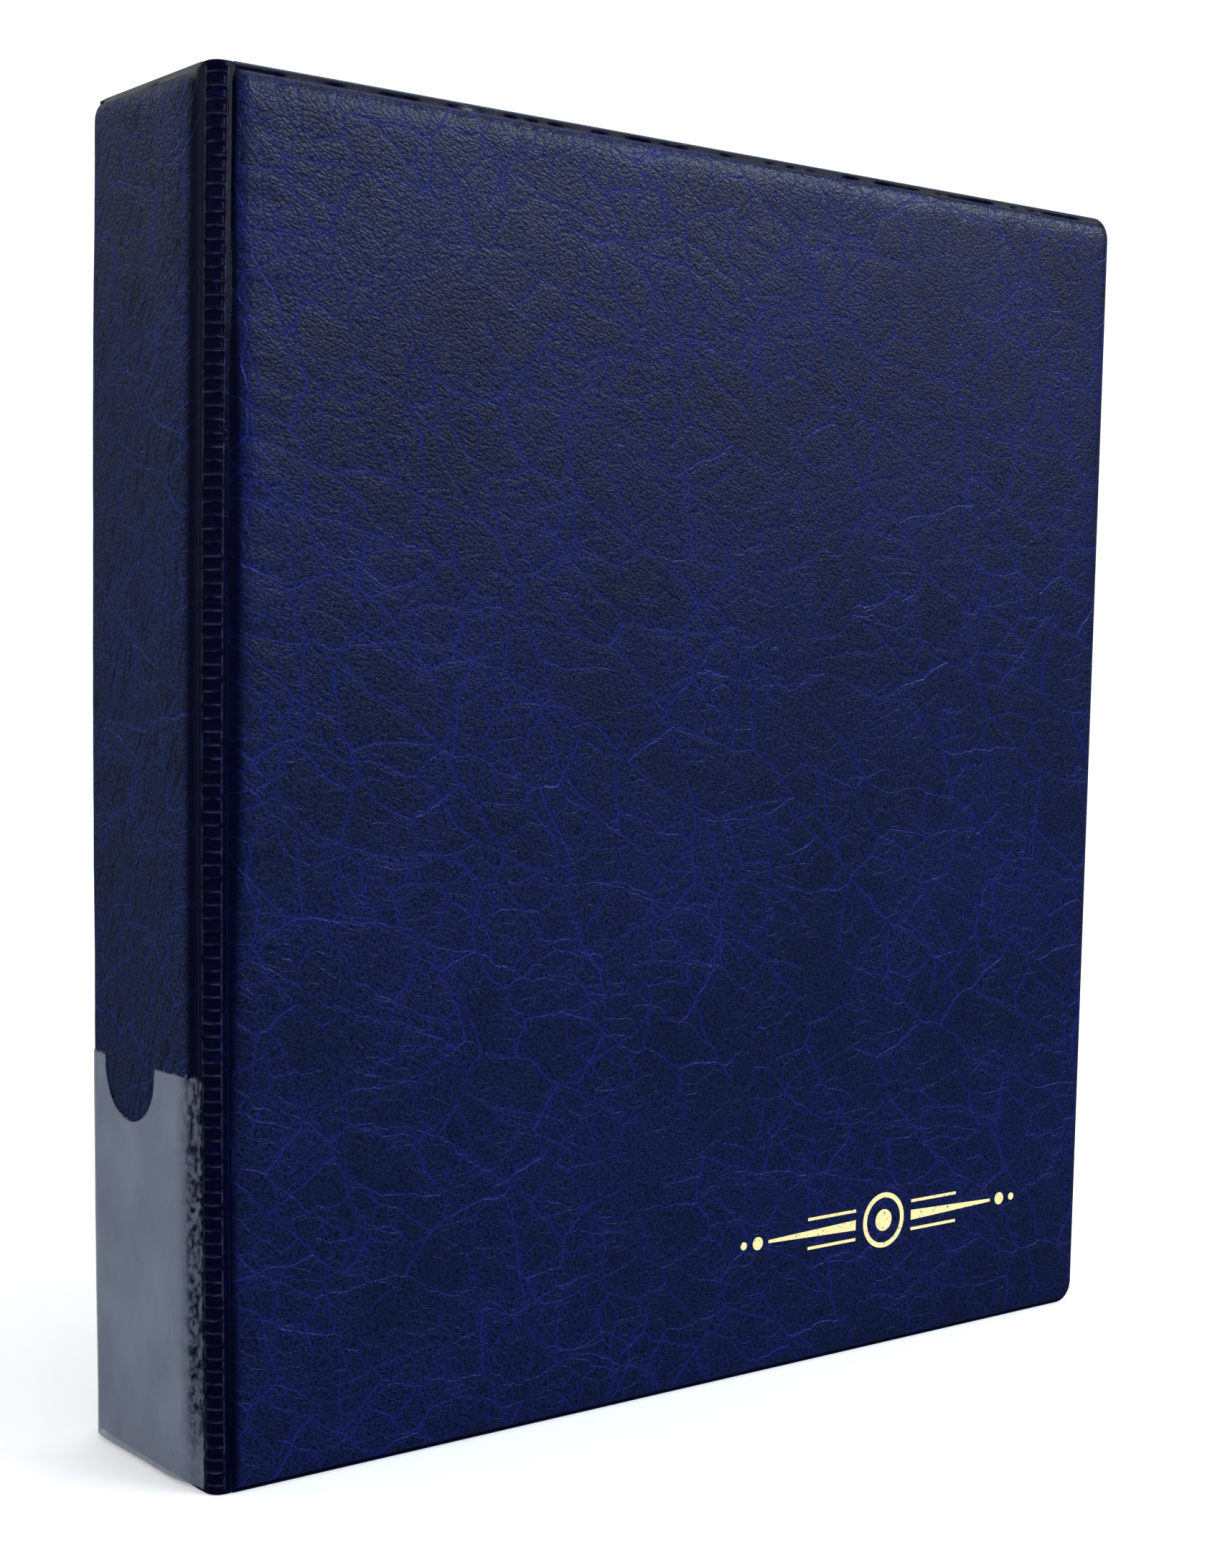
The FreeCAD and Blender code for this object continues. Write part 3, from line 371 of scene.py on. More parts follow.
def leatherette(name, turn, stretch, tones, gloss, grooves):
    """Two-tone embossed vinyl: fine grain, a net of blue creases and smooth welds, near-black with
    painted shade.

    tones are the speckle's dark, the grain, its blue wash and the creases. grooves is the share
    of fine dark grooves along the creases' main direction.
    """
    material, g = new_material(name)
    sheet = g.attribute("sheet", "Vector")
    zone = g.attribute("zone", "Fac")
    wear_and_highlight = g.attribute("wear_and_highlight", "Fac")
    bent = bend(g, bend(g, bend(g, sheet, 34, 11.0), 7.5, 2.6, 3.3), 1.6, 0.5, 6.1)
    main, main_glow = creases(
        g, bent, (19 * stretch, 11), turn, 3.7, 0.16, 1.5, 40, (0.36, 0.52))
    cross, cross_glow = creases(
        g, bent, (14 * stretch, 9), turn - 68, 8.9, 0.14, 1.3, 31, (0.42, 0.58))
    small, small_glow = creases(
        g, bent, (7.0 * stretch, 4.6), turn + 22, 5.3, 0.12, 0.8, 23, (0.44, 0.62))
    fine, _ = creases(g, bent, (3.3 * stretch, 2.3), turn - 12, 1.9, 0.11, 0.5, 15, (0.42, 0.62))
    sweep, sweep_glow = creases(
        g, bent, (38 * stretch, 15), turn - 14, 2.3, 0.16, 1.6, 60, (0.34, 0.50))
    line = g.larger(main, g.times(cross, 0.8))
    line = g.larger(line, g.times(sweep, 0.8))
    line = g.larger(line, g.times(small, 0.7))
    line = g.larger(line, g.times(fine, 0.5))
    glow = g.larger(main_glow, g.larger(cross_glow, sweep_glow))
    glow = g.larger(glow, g.times(small_glow, 0.7))
    grain_place = bend(g, sheet, 2.4, 1.1, 4.4)
    pebbles = g.voronoi(g.mapping(grain_place, 24, (1.0, 0.62, 1)), "F1")
    speck = g.noise(g.mapping(sheet, 12, (0.62, 0.42, 1)), 2, 0.7)
    clouds = g.noise(g.mapping(sheet, 20, (44, 30, 1), (2.2, 5.5, 0)), 3, 0.6)
    smooth = g.step(zone, 0.1, 0.9)
    # colour
    wash = g.times(g.step(clouds, 0.34, 0.66), 0.45)
    wash = g.plus(wash, g.times(glow, 0.55), clamp=True)
    colour = g.mix(wash, tones[1], tones[2])
    dark = g.times(g.step(speck, 0.62, 0.36), 0.75)
    dark = g.plus(dark, g.times(g.step(pebbles, 0.35, 0.75), 0.45), clamp=True)
    colour = g.mix(dark, colour, tones[0])
    colour = g.mix(g.times(line, 0.62), colour, tones[3])
    if grooves:
        strokes = g.noise(g.mapping(bent, turn + 14, (11, 0.9, 1), (6.6, 1.0, 0)), 2, 0.55)
        strokes = g.times(g.step(strokes, 0.42, 0.30), grooves)
        colour = g.mix(g.times(strokes, 0.7), colour, tones[0])
    # painted shade: the smooth rims, the ladders and the welds beside them are painted near-black
    # for the shade in these recesses; their smoothness and navy tone are real
    weld_painted_shade = g.mix(g.times(line, 0.10), rgb(0.0004, 0.0006, 0.0085), tones[3])
    colour = g.mix(smooth, colour, weld_painted_shade)
    # painted highlight: the rims' outer edges and the ladders' cut ends are painted teal
    colour = g.mix(g.step(zone, 1.35, 1.95), colour, rgb(0.004, 0.060, 0.085))
    # painted highlight: the ladder's rails and rungs are painted paler
    colour = g.mix(wear_and_highlight, colour, rgb(0.026, 0.032, 0.070))
    rough = g.plus(gloss, g.times(g.minus(clouds, 0.5), 0.12))
    rough = g.plus(rough, g.times(speck, 0.08))
    # relief: sunk creases, raised pebbles
    relief = g.times(line, -0.50)
    relief = g.plus(relief, g.times(glow, -0.18))
    relief = g.plus(relief, g.times(pebbles, -0.34))
    relief = g.plus(relief, g.times(speck, 0.20))
    if grooves:
        relief = g.minus(relief, g.times(strokes, 0.6))
    relief = g.times(relief, g.minus(1.0, g.times(smooth, 0.9)))
    g.surface({
        "Base Color": colour, "Roughness": g.blend(smooth, rough, 0.15),
        "Normal": g.bump(relief, 0.00022), "Specular IOR Level": 0.12})
    return material


def lining_material():
    material, g = new_material("lining_vinyl")
    sheet = g.attribute("sheet", "Vector")
    zone = g.attribute("zone", "Fac")
    grain = g.noise(g.mapping(sheet, 0, (0.55, 0.55, 1)), 3, 0.6)
    weave = g.voronoi(g.mapping(sheet, 12, (0.6, 0.6, 1)), "F1")
    drift = g.noise(g.mapping(sheet, 0, (42, 30, 1)), 3, 0.55)
    colour = g.mix(g.step(drift, 0.3, 0.7), rgb(0.010, 0.013, 0.045), rgb(0.015, 0.020, 0.064))
    colour = g.mix(g.times(g.step(grain, 0.4, 0.7), 0.3), colour, rgb(0.022, 0.030, 0.09))
    weld = g.step(zone, 0.2, 0.9)
    g.surface({
        "Base Color": g.mix(weld, colour, rgb(0.004, 0.005, 0.022)),
        "Roughness": g.blend(weld, g.step(grain, 0.2, 0.8, 0.52, 0.66), 0.3),
        "Normal": g.bump(g.plus(g.times(grain, 0.5), g.times(weave, -0.5)), 0.00007),
        "Specular IOR Level": 0.35})
    return material


def film_material():
    """Clear soft film with a grey haze, partly real and partly a painted reflection of the bright
    room, that clears where it clings to the vinyl.
    """
    material, g = new_material("label_film")
    sheet = g.attribute("sheet", "Vector")
    cling = g.attribute("zone", "Fac")
    mottle = g.noise(g.mapping(sheet, 0, (1.5, 2.2, 1)), 4, 0.65)
    haze = g.noise(g.mapping(sheet, 0, (11, 19, 1)), 3, 0.6)
    contact = g.times(cling, g.step(mottle, 0.36, 0.60, 0.55, 1.0))
    alpha = g.plus(0.55, g.times(g.minus(haze, 0.5), 0.10))
    alpha = g.times(alpha, g.minus(1.0, g.times(contact, 0.97)))
    edge = g.step(cling, 1.4, 2.0)
    # painted reflection: the grey stands for the bright surroundings that the film mirrors,
    # together with its real haze
    colour = g.mix(g.step(haze, 0.3, 0.7), rgb(0.190, 0.218, 0.287), rgb(0.218, 0.247, 0.316))
    scuff = g.noise(g.mapping(sheet, 8, (0.7, 5.0, 1)), 3, 0.6)
    g.surface({
        "Alpha": g.plus(alpha, g.times(edge, 0.35), clamp=True), "Base Color": colour,
        "Roughness": g.step(haze, 0.3, 0.7, 0.30, 0.40),
        "Normal": g.bump(g.plus(scuff, haze), 0.00003), "Specular IOR Level": 0.3})
    return material


def foil_material():
    material, g = new_material("gold_foil")
    place = g.add("TexCoord", output="Object")
    flat = g.add("VectorRotate", {"Vector": place, "Angle": math.radians(-90)},
                 rotation_type="X_AXIS")
    wear_and_highlight = g.noise(g.mapping(flat, 15, (0.0011, 0.0007, 1)), 4, 0.7)
    pits = g.noise(g.mapping(flat, 0, (0.0045, 0.0045, 1), (3.3, 1.2, 0)), 3, 0.6)
    grain = g.noise(g.mapping(flat, 0, (0.00035, 0.00035, 1)), 2, 0.6)
    missing = g.times(g.step(wear_and_highlight, 0.60, 0.66), g.step(pits, 0.42, 0.56))
    gold = g.mix(g.step(grain, 0.3, 0.7), rgb(0.96, 0.78, 0.30), rgb(1.0, 0.90, 0.48))
    g.surface({
        "Base Color": g.mix(missing, gold, rgb(0.014, 0.018, 0.06)),
        "Metallic": g.minus(0.25, g.times(missing, 0.25)),
        "Roughness": g.step(grain, 0.2, 0.8, 0.34, 0.5), "Normal": g.bump(grain, 0.00004)})
    return material


def metal_material(name, light, dark, roughness, brushed):
    """Plated or rolled steel with faint draw lines and handling marks."""
    material, g = new_material(name)
    place = g.add("TexCoord", output="Object")
    stretched = g.add("Mapping", {
        "Vector": place, "Scale": (1400, 1400, 60 if brushed else 1400)})
    marks = g.add("TexNoise", {"Vector": stretched, "Scale": 1.0, "Detail": 3.0}, "Fac",
                  noise_dimensions="3D")
    stains = g.add("TexNoise", {"Vector": place, "Scale": 90.0, "Detail": 4.0}, "Fac",
                   noise_dimensions="3D")
    g.surface({
        "Base Color": g.mix(g.step(stains, 0.35, 0.7), light, dark), "Metallic": 1.0,
        "Roughness": g.plus(roughness, g.times(stains, 0.12)),
        "Normal": g.bump(marks, 0.00002 if brushed else 0.00001)})
    return material


def page_material():
    """Clear soft film, milky along its welds."""
    material, g = new_material("page_film")
    sheet = g.attribute("sheet", "Vector")
    weld = g.attribute("zone", "Fac")
    haze = g.noise(g.mapping(sheet, 0, (17, 23, 1)), 3, 0.6)
    waves = g.noise(g.mapping(sheet, 30, (7, 12, 1), (1.1, 4.2, 0)), 2, 0.5)
    stipple = g.voronoi(g.mapping(sheet, 45, (0.7, 0.7, 1)), "F1")
    alpha = g.plus(0.16, g.times(haze, 0.12))
    alpha = g.blend(g.step(weld, 0.1, 0.9), alpha, g.step(stipple, 0.1, 0.6, 0.75, 0.5))
    relief = g.plus(waves, g.times(g.times(stipple, weld), 0.35))
    g.surface({
        "Alpha": alpha, "Base Color": g.mix(weld, rgb(0.72, 0.78, 0.84), rgb(0.62, 0.68, 0.76)),
        "Roughness": g.blend(weld, g.step(haze, 0.3, 0.7, 0.10, 0.2), 0.32),
        "Normal": g.bump(relief, 0.00025)})
    return material


COVER_TONES = (
    rgb(0.0011, 0.0026, 0.0125), rgb(0.0044, 0.0090, 0.0355),
    rgb(0.0040, 0.0090, 0.0690), rgb(0.0070, 0.0130, 0.1450))
# painted sheen: the same vinyl as the cover, with lighter and greyer tones for the light's sheen on
# the spine
SPINE_TONES_WITH_SHEEN = (
    rgb(0.0026, 0.0055, 0.0155), rgb(0.0128, 0.0215, 0.0580),
    rgb(0.0115, 0.0205, 0.0900), rgb(0.0125, 0.0210, 0.1700))
cover_leather = leatherette("cover_leatherette", 42, 1.0, COVER_TONES, 0.21, 0.0)
spine_leather = leatherette("spine_leatherette", 56, 1.1, SPINE_TONES_WITH_SHEEN, 0.27, 1.0)
lining = lining_material()
label_film = film_material()
gold = foil_material()
nickel = metal_material("nickel_plate", rgb(0.72, 0.71, 0.69), rgb(0.60, 0.59, 0.57), 0.10, False)
rolled_steel = metal_material(
    "rolled_steel", rgb(0.52, 0.52, 0.53), rgb(0.40, 0.40, 0.42), 0.26, True)
page_film = page_material()

# ---------------------------------------------------------------- covers

# Each level of a panel: offset at the hinge side, at the fore-edge, at the bottom and top,
# and the rise above the rim plane. The last is where the plateau's grid starts.
BACK_OF_SKIN = -0.45
COVER_LEVELS = [
    (0.00, 0.42, 0.42, BACK_OF_SKIN),
    (0.00, 0.16, 0.16, BACK_OF_SKIN + 0.01),
    (0.01, 0.02, 0.02, -0.30),
    (0.02, 0.00, 0.00, -0.14),
    (0.03, 0.07, 0.07, -0.03),
    (0.05, 0.30, 0.30, 0.03),
    (0.10, 0.70, 0.80, -0.01),
    (0.15, 1.10, 1.30, -0.02),
    (0.75, 1.20, 1.40, 0.28),
    (1.55, 1.28, 1.70, 0.72),
    (2.35, 1.60, 2.40, 1.10),
    (3.30, 2.40, 3.70, 1.42),
    (4.60, 3.80, 5.50, 1.56),
    (6.00, 5.60, 7.20, PANEL_RISE),
]
COVER_GRID = (8.0, 8.0, 8.0)
EDGE_LEVELS = 5  # levels round the rim's outer edge
WELD_LEVEL = 6  # the first level inside the rim's bead
RIM_LEVELS = 8  # levels that belong to the smooth rim
# the hinge side's offsets from WELD_LEVEL on: a sharp groove at the head, none at the foot
HEAD_OFFSETS = (0.30, 0.42, 0.50, 0.62, 0.88, 1.50, 3.10, 5.00)
FOOT_OFFSETS = (0.08, 0.10, 0.18, 0.45, 0.95, 1.90, 3.40, 5.20)
FOOT_RIM = 0.5  # less rim at the foot than at the head
foil_low, foil_high = node_box("front_foil_ornament")


def cover_corners(edge):
    return 0.6 if edge < 1.4 else 1.8, max(4.9 - edge, 0.3)


def rim_zone(level, rim_levels):
    # 1 on the rim: smooth, with painted shade; 2 on its outer edge: a painted teal highlight; 0.6
    #               where the panel starts
    zone = np.where(level < rim_levels, 1.0, 0.0)
    zone = np.where(level < EDGE_LEVELS, 2.0, zone)
    return np.where(level == rim_levels, 0.6, zone)


def cover_panel(name, body, plane, outward, seed, replaced):
    """A cover's board in its outer vinyl, from the hinge to the fore-edge."""
    width = FORE_EDGE - CORNER_X
    points, faces, level = wrapped_board(
        width, HEIGHT, COVER_LEVELS, COVER_GRID, 1.2, cover_corners)
    across, up, rise = points.T.copy()
    flat = rows_of(across, up)
    zone = rim_zone(level, RIM_LEVELS)
    shoulder = ((level >= RIM_LEVELS - 1) & (level < len(COVER_LEVELS))).astype(float)
    middle = np.array([offset for offset, *_ in COVER_LEVELS] + [COVER_GRID[0]])
    head, foot = np.zeros(len(middle)), np.zeros(len(middle))
    free = slice(WELD_LEVEL, len(COVER_LEVELS))
    head[free] = HEAD_OFFSETS - middle[free]
    foot[free] = FOOT_OFFSETS - middle[free]
    crumple = ripple(rows_of(across * 0.6, up), 5.0, seed + 2, 3)
    coarse = ripple(flat, 17.0, seed + 5, 2)
    shift = head[level] * smooth_step(up, 190, 262) + foot[level] * (1 - smooth_step(up, 12, 70))
    shift += shoulder * (0.22 * crumple + 0.28 * coarse)
    across = np.maximum(across + shift * np.clip(1 - (across - middle[level]) / 5.0, 0, 1), 0.0)
    # the smooth weld beside the ladder, dark with painted shade of the groove: narrow at the head,
    # wide and soft half-way down
    high, bottom = smooth_step(up, 185, 255), 1 - smooth_step(up, 60, 140)
    weld_end = 0.8 - 0.5 * high - 1.3 * bottom
    leather_start = 3.6 - 2.6 * high - 1.0 * bottom
    by_hinge = (up > 2.0) & (up < HEIGHT - 2.0) & (across < COVER_GRID[0]) & (level >= EDGE_LEVELS)
    zone = np.where(by_hinge, 1 - smooth_step(across, weld_end, leather_start), zone)
    up = up - FOOT_RIM * (level >= WELD_LEVEL) * (1 - smooth_step(up, 1.5, 7.0))
    # soft swell of the panel, pressed folds by the hinge and a beaded top shoulder
    x = CORNER_X + across
    beside = np.maximum(np.maximum(foil_low[0] - x, x - foil_high[0]), 0)
    above = np.maximum(np.maximum(foil_low[2] - up, up - foil_high[2]), 0)
    calm = smooth_step(np.hypot(beside, above), 2, 34)
    inside = smooth_step(rise, 0.2, 1.5)
    swell = 0.15 * ripple(flat, 55.0, seed, 3) + 0.045 * ripple(flat, 9.0, seed + 9, 2)
    dome = np.sin(np.pi * across / width) * np.sin(np.pi * up / HEIGHT)
    crown = 0.24 * np.clip(dome, 0, 1) ** 0.5
    folds = 0.20 * ripple(rows_of(across * 0.30, up * 1.2), 4.2, seed + 12, 2)
    folds *= 1 - smooth_step(across, 3, 17)
    by_top = 1 - smooth_step(HEIGHT - up, 3.0, 7.5)
    beads = 0.20 * ripple(rows_of(across, up * 0.3), 3.3, seed + 20, 2) * by_top * shoulder
    rise = rise + inside * (calm * (swell + crown) + folds) + beads
    place = rows_of(x, plane + outward * rise, up)
    if outward > 0:
        faces = flipped(faces)
    piece = make_piece(name, place, faces, body, cover_leather,
                       on_sheet(across + seed * 100, up), zone)
    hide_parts(*replaced)


cover_panel("front_cover_panel", "front_cover", FRONT_RIM, -1, 1.0,
            ["front_outer_skin", "front_board"])
cover_panel("back_cover_panel", "back_cover", BACK_RIM, 1, 4.0, ["back_outer_skin", "back_board"])

# ---------------------------------------------------------------- spine

# Each level of the spine panel: offset at the front, at the back, at the ends, then the rise at
# the front and at the back, where the padding bulges past the start of the ladder.
SPINE_LEVELS = [
    (0.00, 0.00, 0.42, BACK_OF_SKIN, BACK_OF_SKIN),
    (0.00, 0.00, 0.16, BACK_OF_SKIN + 0.01, BACK_OF_SKIN + 0.01),
    (0.01, 0.01, 0.02, -0.30, -0.30),
    (0.02, 0.02, 0.00, -0.14, -0.14),
    (0.03, 0.02, 0.07, -0.03, -0.03),
    (0.05, 0.00, 0.30, 0.03, 0.03),
    (0.90, -0.30, 1.20, 0.02, 0.25),
    (1.60, -0.80, 1.32, 0.08, 0.70),
    (2.60, -0.95, 1.46, 0.30, 1.10),
    (3.80, -0.80, 1.70, 0.62, 1.50),
    (5.20, -0.30, 2.05, 0.98, 1.85),
    (6.80, 0.60, 2.70, 1.30, 2.05),
    (8.50, 2.50, 3.90, 1.52, 2.10),
    (10.50, 4.50, 5.60, 1.68, 2.12),
]
SPINE_GRID = (12.0, 6.5, 8.0)
SPINE_WIDTH = BACK_CORNER_Y - FRONT_CORNER_Y
PLATEAU_RISE = (10.5, 36.0)  # where the rise goes over from the front's to the back's
SPINE_RIM_LEVELS = 7


def fullness(up):
    """How full the spine's padding stands at a height: a little flatter towards the head."""
    return 1 + 0.10 * (1 - smooth_step(up, 40, 120)) - 0.07 * smooth_step(up, 190, 262)


def spine_panel():
    points, faces, level = wrapped_board(
        SPINE_WIDTH, HEIGHT, SPINE_LEVELS, SPINE_GRID, 1.0,
        lambda edge: (0.6, 0.6) if edge < 1.25 else (2.4, 2.4))
    across, up = points[:, 0], points[:, 1]
    flat = points[:, :2]
    front_rise, back_rise = np.array(SPINE_LEVELS + SPINE_LEVELS[-1:]).T[3:, level]
    rise = front_rise + (back_rise - front_rise) * smooth_step(across, *PLATEAU_RISE)
    zone = rim_zone(level, SPINE_RIM_LEVELS)
    # painted shade: the weld beside the front ladder is dark up to 1.8 mm and fades out by 5.6 mm;
    # the back's stays dark until the padding rises
    beside = np.where(across < SPINE_WIDTH / 2, 1 - smooth_step(across, 1.8, 5.6),
                      1 - smooth_step(rise, 0.15, 0.8))
    ends = np.minimum(up, HEIGHT - up)
    zone = np.where((ends > 2.0) & (level >= EDGE_LEVELS), beside, zone)
    inside = smooth_step(rise, 0.1, 1.3)
    free = smooth_step(up, 76, 92)
    swell = 0.10 * ripple(flat, 40.0, 31.0, 3) * (0.3 + 0.7 * free)
    wrinkles = 0.055 * ripple(rows_of(across + 0.22 * up, up * 0.28), 3.6, 34.0, 2) * free
    rise = np.where(rise > 0.05, rise * fullness(up), rise) + inside * (swell + wrinkles)
    place = rows_of(SPINE_RIM - rise, FRONT_CORNER_Y + across, up)
    piece = make_piece("spine_panel", place, flipped(faces), "spine", spine_leather,
                       on_sheet(across - 300, up), zone)
    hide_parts("spine_outer_skin", "spine_board")


spine_panel()

# ---------------------------------------------------------------- ladder hinges

LADDER_FOOT, LADDER_HEAD = 1.9, 267.8  # the lowest and the highest rung
RUNGS = 107
LEFT_RAIL = 1.35  # along the corner from the spine's side, as an arc of the corner radius
RIGHT_RAIL = 4.88
RIGHT_SPREAD = 0.57  # further out at the head
RIDGE, WELL = 0.10, -0.30


def ridge(distance, half, shoulder):
    return 1 - smooth_step(np.abs(distance), half, half + shoulder)


def hinge_strip(name, centre_y, side, replaced):
    """The welded strip round a case corner, with its pressed ladder."""
    length = CORNER_RADIUS * math.pi / 2
    columns = [0.0, 0.45, 0.85, 2.1, 2.75, 3.3, 3.85, 4.3, length - 0.5, length - 0.2, length]
    for rail in (LEFT_RAIL, RIGHT_RAIL):
        columns += [rail + d for d in (-0.28, -0.16, -0.07, 0.07, 0.16, 0.28)]
    columns = np.array(sorted(columns))
    rungs = np.linspace(LADDER_FOOT, LADDER_HEAD, RUNGS)
    pitch = rungs[1] - rungs[0]
    heights = [0.0, 0.06, 0.18, 0.4, 0.9]
    heights += [HEIGHT - inset for inset in (1.4, 0.9, 0.4, 0.18, 0.06, 0.0)]
    for rung in rungs:
        heights += [rung + d for d in (-0.36, -0.2, -0.08, 0.08, 0.2, 0.36)]
    for rung in rungs[:-1]:
        heights += [rung + 0.75, rung + pitch / 2, rung + pitch - 0.75]
    heights = np.array(sorted(heights))
    u, z = np.meshgrid(columns, heights)
    spread = RIGHT_SPREAD * (z / HEIGHT) ** 1.5
    follow = np.interp(
        columns, [LEFT_RAIL + 0.3, RIGHT_RAIL - 0.3, RIGHT_RAIL + 0.3, length], [0, 1, 1, 0])
    u = u + spread * follow[None, :]
    right_rail = RIGHT_RAIL + spread
    rail_mask = np.maximum(ridge(u - LEFT_RAIL, 0.05, 0.2), ridge(u - right_rail, 0.05, 0.2))
    nearest = np.abs((z - LADDER_FOOT + pitch / 2) % pitch - pitch / 2)
    in_height = (z > LADDER_FOOT - 0.37) & (z < LADDER_HEAD + 0.37)
    rung_mask = ridge(nearest, 0.05, 0.2)
    between = (u > LEFT_RAIL) & (u < right_rail)
    mask = np.where(between, np.maximum(rail_mask, rung_mask), rail_mask) * in_height
    part = np.clip((u - LEFT_RAIL) / (right_rail - LEFT_RAIL), 0, 1)
    floor = np.where(between & in_height, WELL + 0.08 * np.sin(np.pi * part), -0.04)
    rise = floor + (RIDGE - floor) * mask
    uneven = ripple(rows_of(u, z), 1.7, 51.0, 2).reshape(u.shape)
    rise += 0.03 * uneven * mask
    end = np.minimum(z, HEIGHT - z)
    rise -= 0.45 * (1 - smooth_step(end, -0.05, 0.2)) - 0.03 * ridge(end - 0.3, 0.1, 0.3)
    # zone 1 gives the whole ladder the welds' painted shade; 2 at its cut ends gives the painted
    # teal highlight
    zone = np.where(end < 0.12, 2.0, 1.0)
    # painted highlight: the rails and rungs are paler, unevenly along their length
    wear_and_highlight = mask * np.clip(0.35 + 0.9 * uneven, 0, 0.8)
    inner_u = np.array([0.0, LEFT_RAIL, 2.8, 4.05, RIGHT_RAIL, length])
    iu, iz = np.meshgrid(inner_u, heights)
    inner_rise = np.full(iu.shape, -WELD)
    inner_rise += 0.35 * (1 - smooth_step(np.minimum(iz, HEIGHT - iz), -0.05, 0.2))

    def bent(arc, lift, up):
        x, y = corner_place(centre_y, side, arc / CORNER_RADIUS, lift)
        return rows_of(x, y, up)

    outer, inner = bent(u, rise, z), bent(iu, inner_rise, iz)
    rows, across, inner_across = len(heights), len(columns), len(inner_u)
    index = np.arange(rows * across).reshape(rows, across)
    under = rows * across + np.arange(rows * inner_across).reshape(rows, inner_across)
    faces = quads(index) + flipped(quads(under))
    for j in range(rows - 1):
        faces.append([under[j, 0], index[j, 0], index[j + 1, 0], under[j + 1, 0]])
        faces.append([index[j, -1], under[j, -1], under[j + 1, -1], index[j + 1, -1]])
    faces.append(under[0, :].tolist() + index[0, ::-1].tolist())
    faces.append(index[-1, :].tolist() + under[-1, ::-1].tolist())
    if side > 0:
        faces = flipped(faces)
    sheet = np.vstack([on_sheet(u - 500, z), on_sheet(iu - 500, iz)])
    zones = np.concatenate([zone.ravel(), np.full(iu.size, 1.0)])
    pale = np.concatenate([wear_and_highlight.ravel(), np.zeros(iu.size)])
    piece = make_piece(name, np.vstack([outer, inner]), faces, None, cover_leather,
                       sheet, zones, 55, pale)
    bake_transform(piece)
    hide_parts(replaced)


hinge_strip("front_hinge_ladder", FRONT_CORNER_Y, -1, "front_hinge_weld")
hinge_strip("back_hinge_ladder", BACK_CORNER_Y, 1, "back_hinge_weld")

# ---------------------------------------------------------------- inner linings

LINING_LEVELS = [
    (0.00, 0.30, 0.30, 0.00),
    (0.00, 0.05, 0.05, 0.05),
    (0.01, 0.00, 0.00, 0.18),
    (0.03, 0.06, 0.06, 0.30),
    (0.10, 0.30, 0.30, 0.35),
    (1.00, 1.60, 1.60, 0.34),
    (1.40, 1.95, 1.95, 0.24),
    (1.70, 2.20, 2.20, 0.22),
    (2.05, 2.55, 2.55, 0.32),
    (3.00, 3.60, 3.60, 0.35),
]


def lining_sheet(name, body, width, right_inset, map_point, flip, replaced, right_radius):
    """An inner lining with its weld line; without right_inset both of its sides are alike."""
    levels = [(l, r if right_inset else l, e, h) for l, r, e, h in LINING_LEVELS]
    points, faces, level = wrapped_board(
        width, HEIGHT, levels, (8.0, 8.0, 8.0), 3.0,
        lambda e: (0.3, max(right_radius - e, 0.05)))
    across, up, rise = points.T.copy()
    uneven = ripple(rows_of(across, up), 30.0, 61.0, 2)
    rise = rise + 0.03 * uneven * (level == len(levels))
    zone = np.where((level >= 5) & (level <= 8), 1.0, 0.0)
    if flip:
        faces = flipped(faces)
    piece = make_piece(name, map_point(across, up, rise), faces, body, lining,
                       on_sheet(across, up), zone)
    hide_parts(replaced)


for end, plane, inward in (("front", front_high[1], 1), ("back", back_low[1], -1)):
    lining_sheet(f"{end}_cover_lining", f"{end}_cover", FORE_EDGE - CORNER_X, True,
                 lambda a, b, h: rows_of(CORNER_X + a, plane + inward * h, b),
                 inward > 0, f"{end}_inner_liner", 8.0)
lining_sheet("spine_lining", "spine", SPINE_WIDTH, False,
             lambda a, b, h: rows_of(spine_high[0] + h, FRONT_CORNER_Y + a, b),
             False, "spine_inner_liner", 0.6)

# ---------------------------------------------------------------- label pocket

NOTCH_RADIUS = 10.2
NOTCH_DEPTH = 12.0
NOTCH_OFFSET = 4.2  # towards the back cover
FILM_GAUGE = 0.18
FILM_LIFT = 0.12
FILM_TURNS = (0.30, 0.62)  # how far round the front and the back corner it reaches, in radians


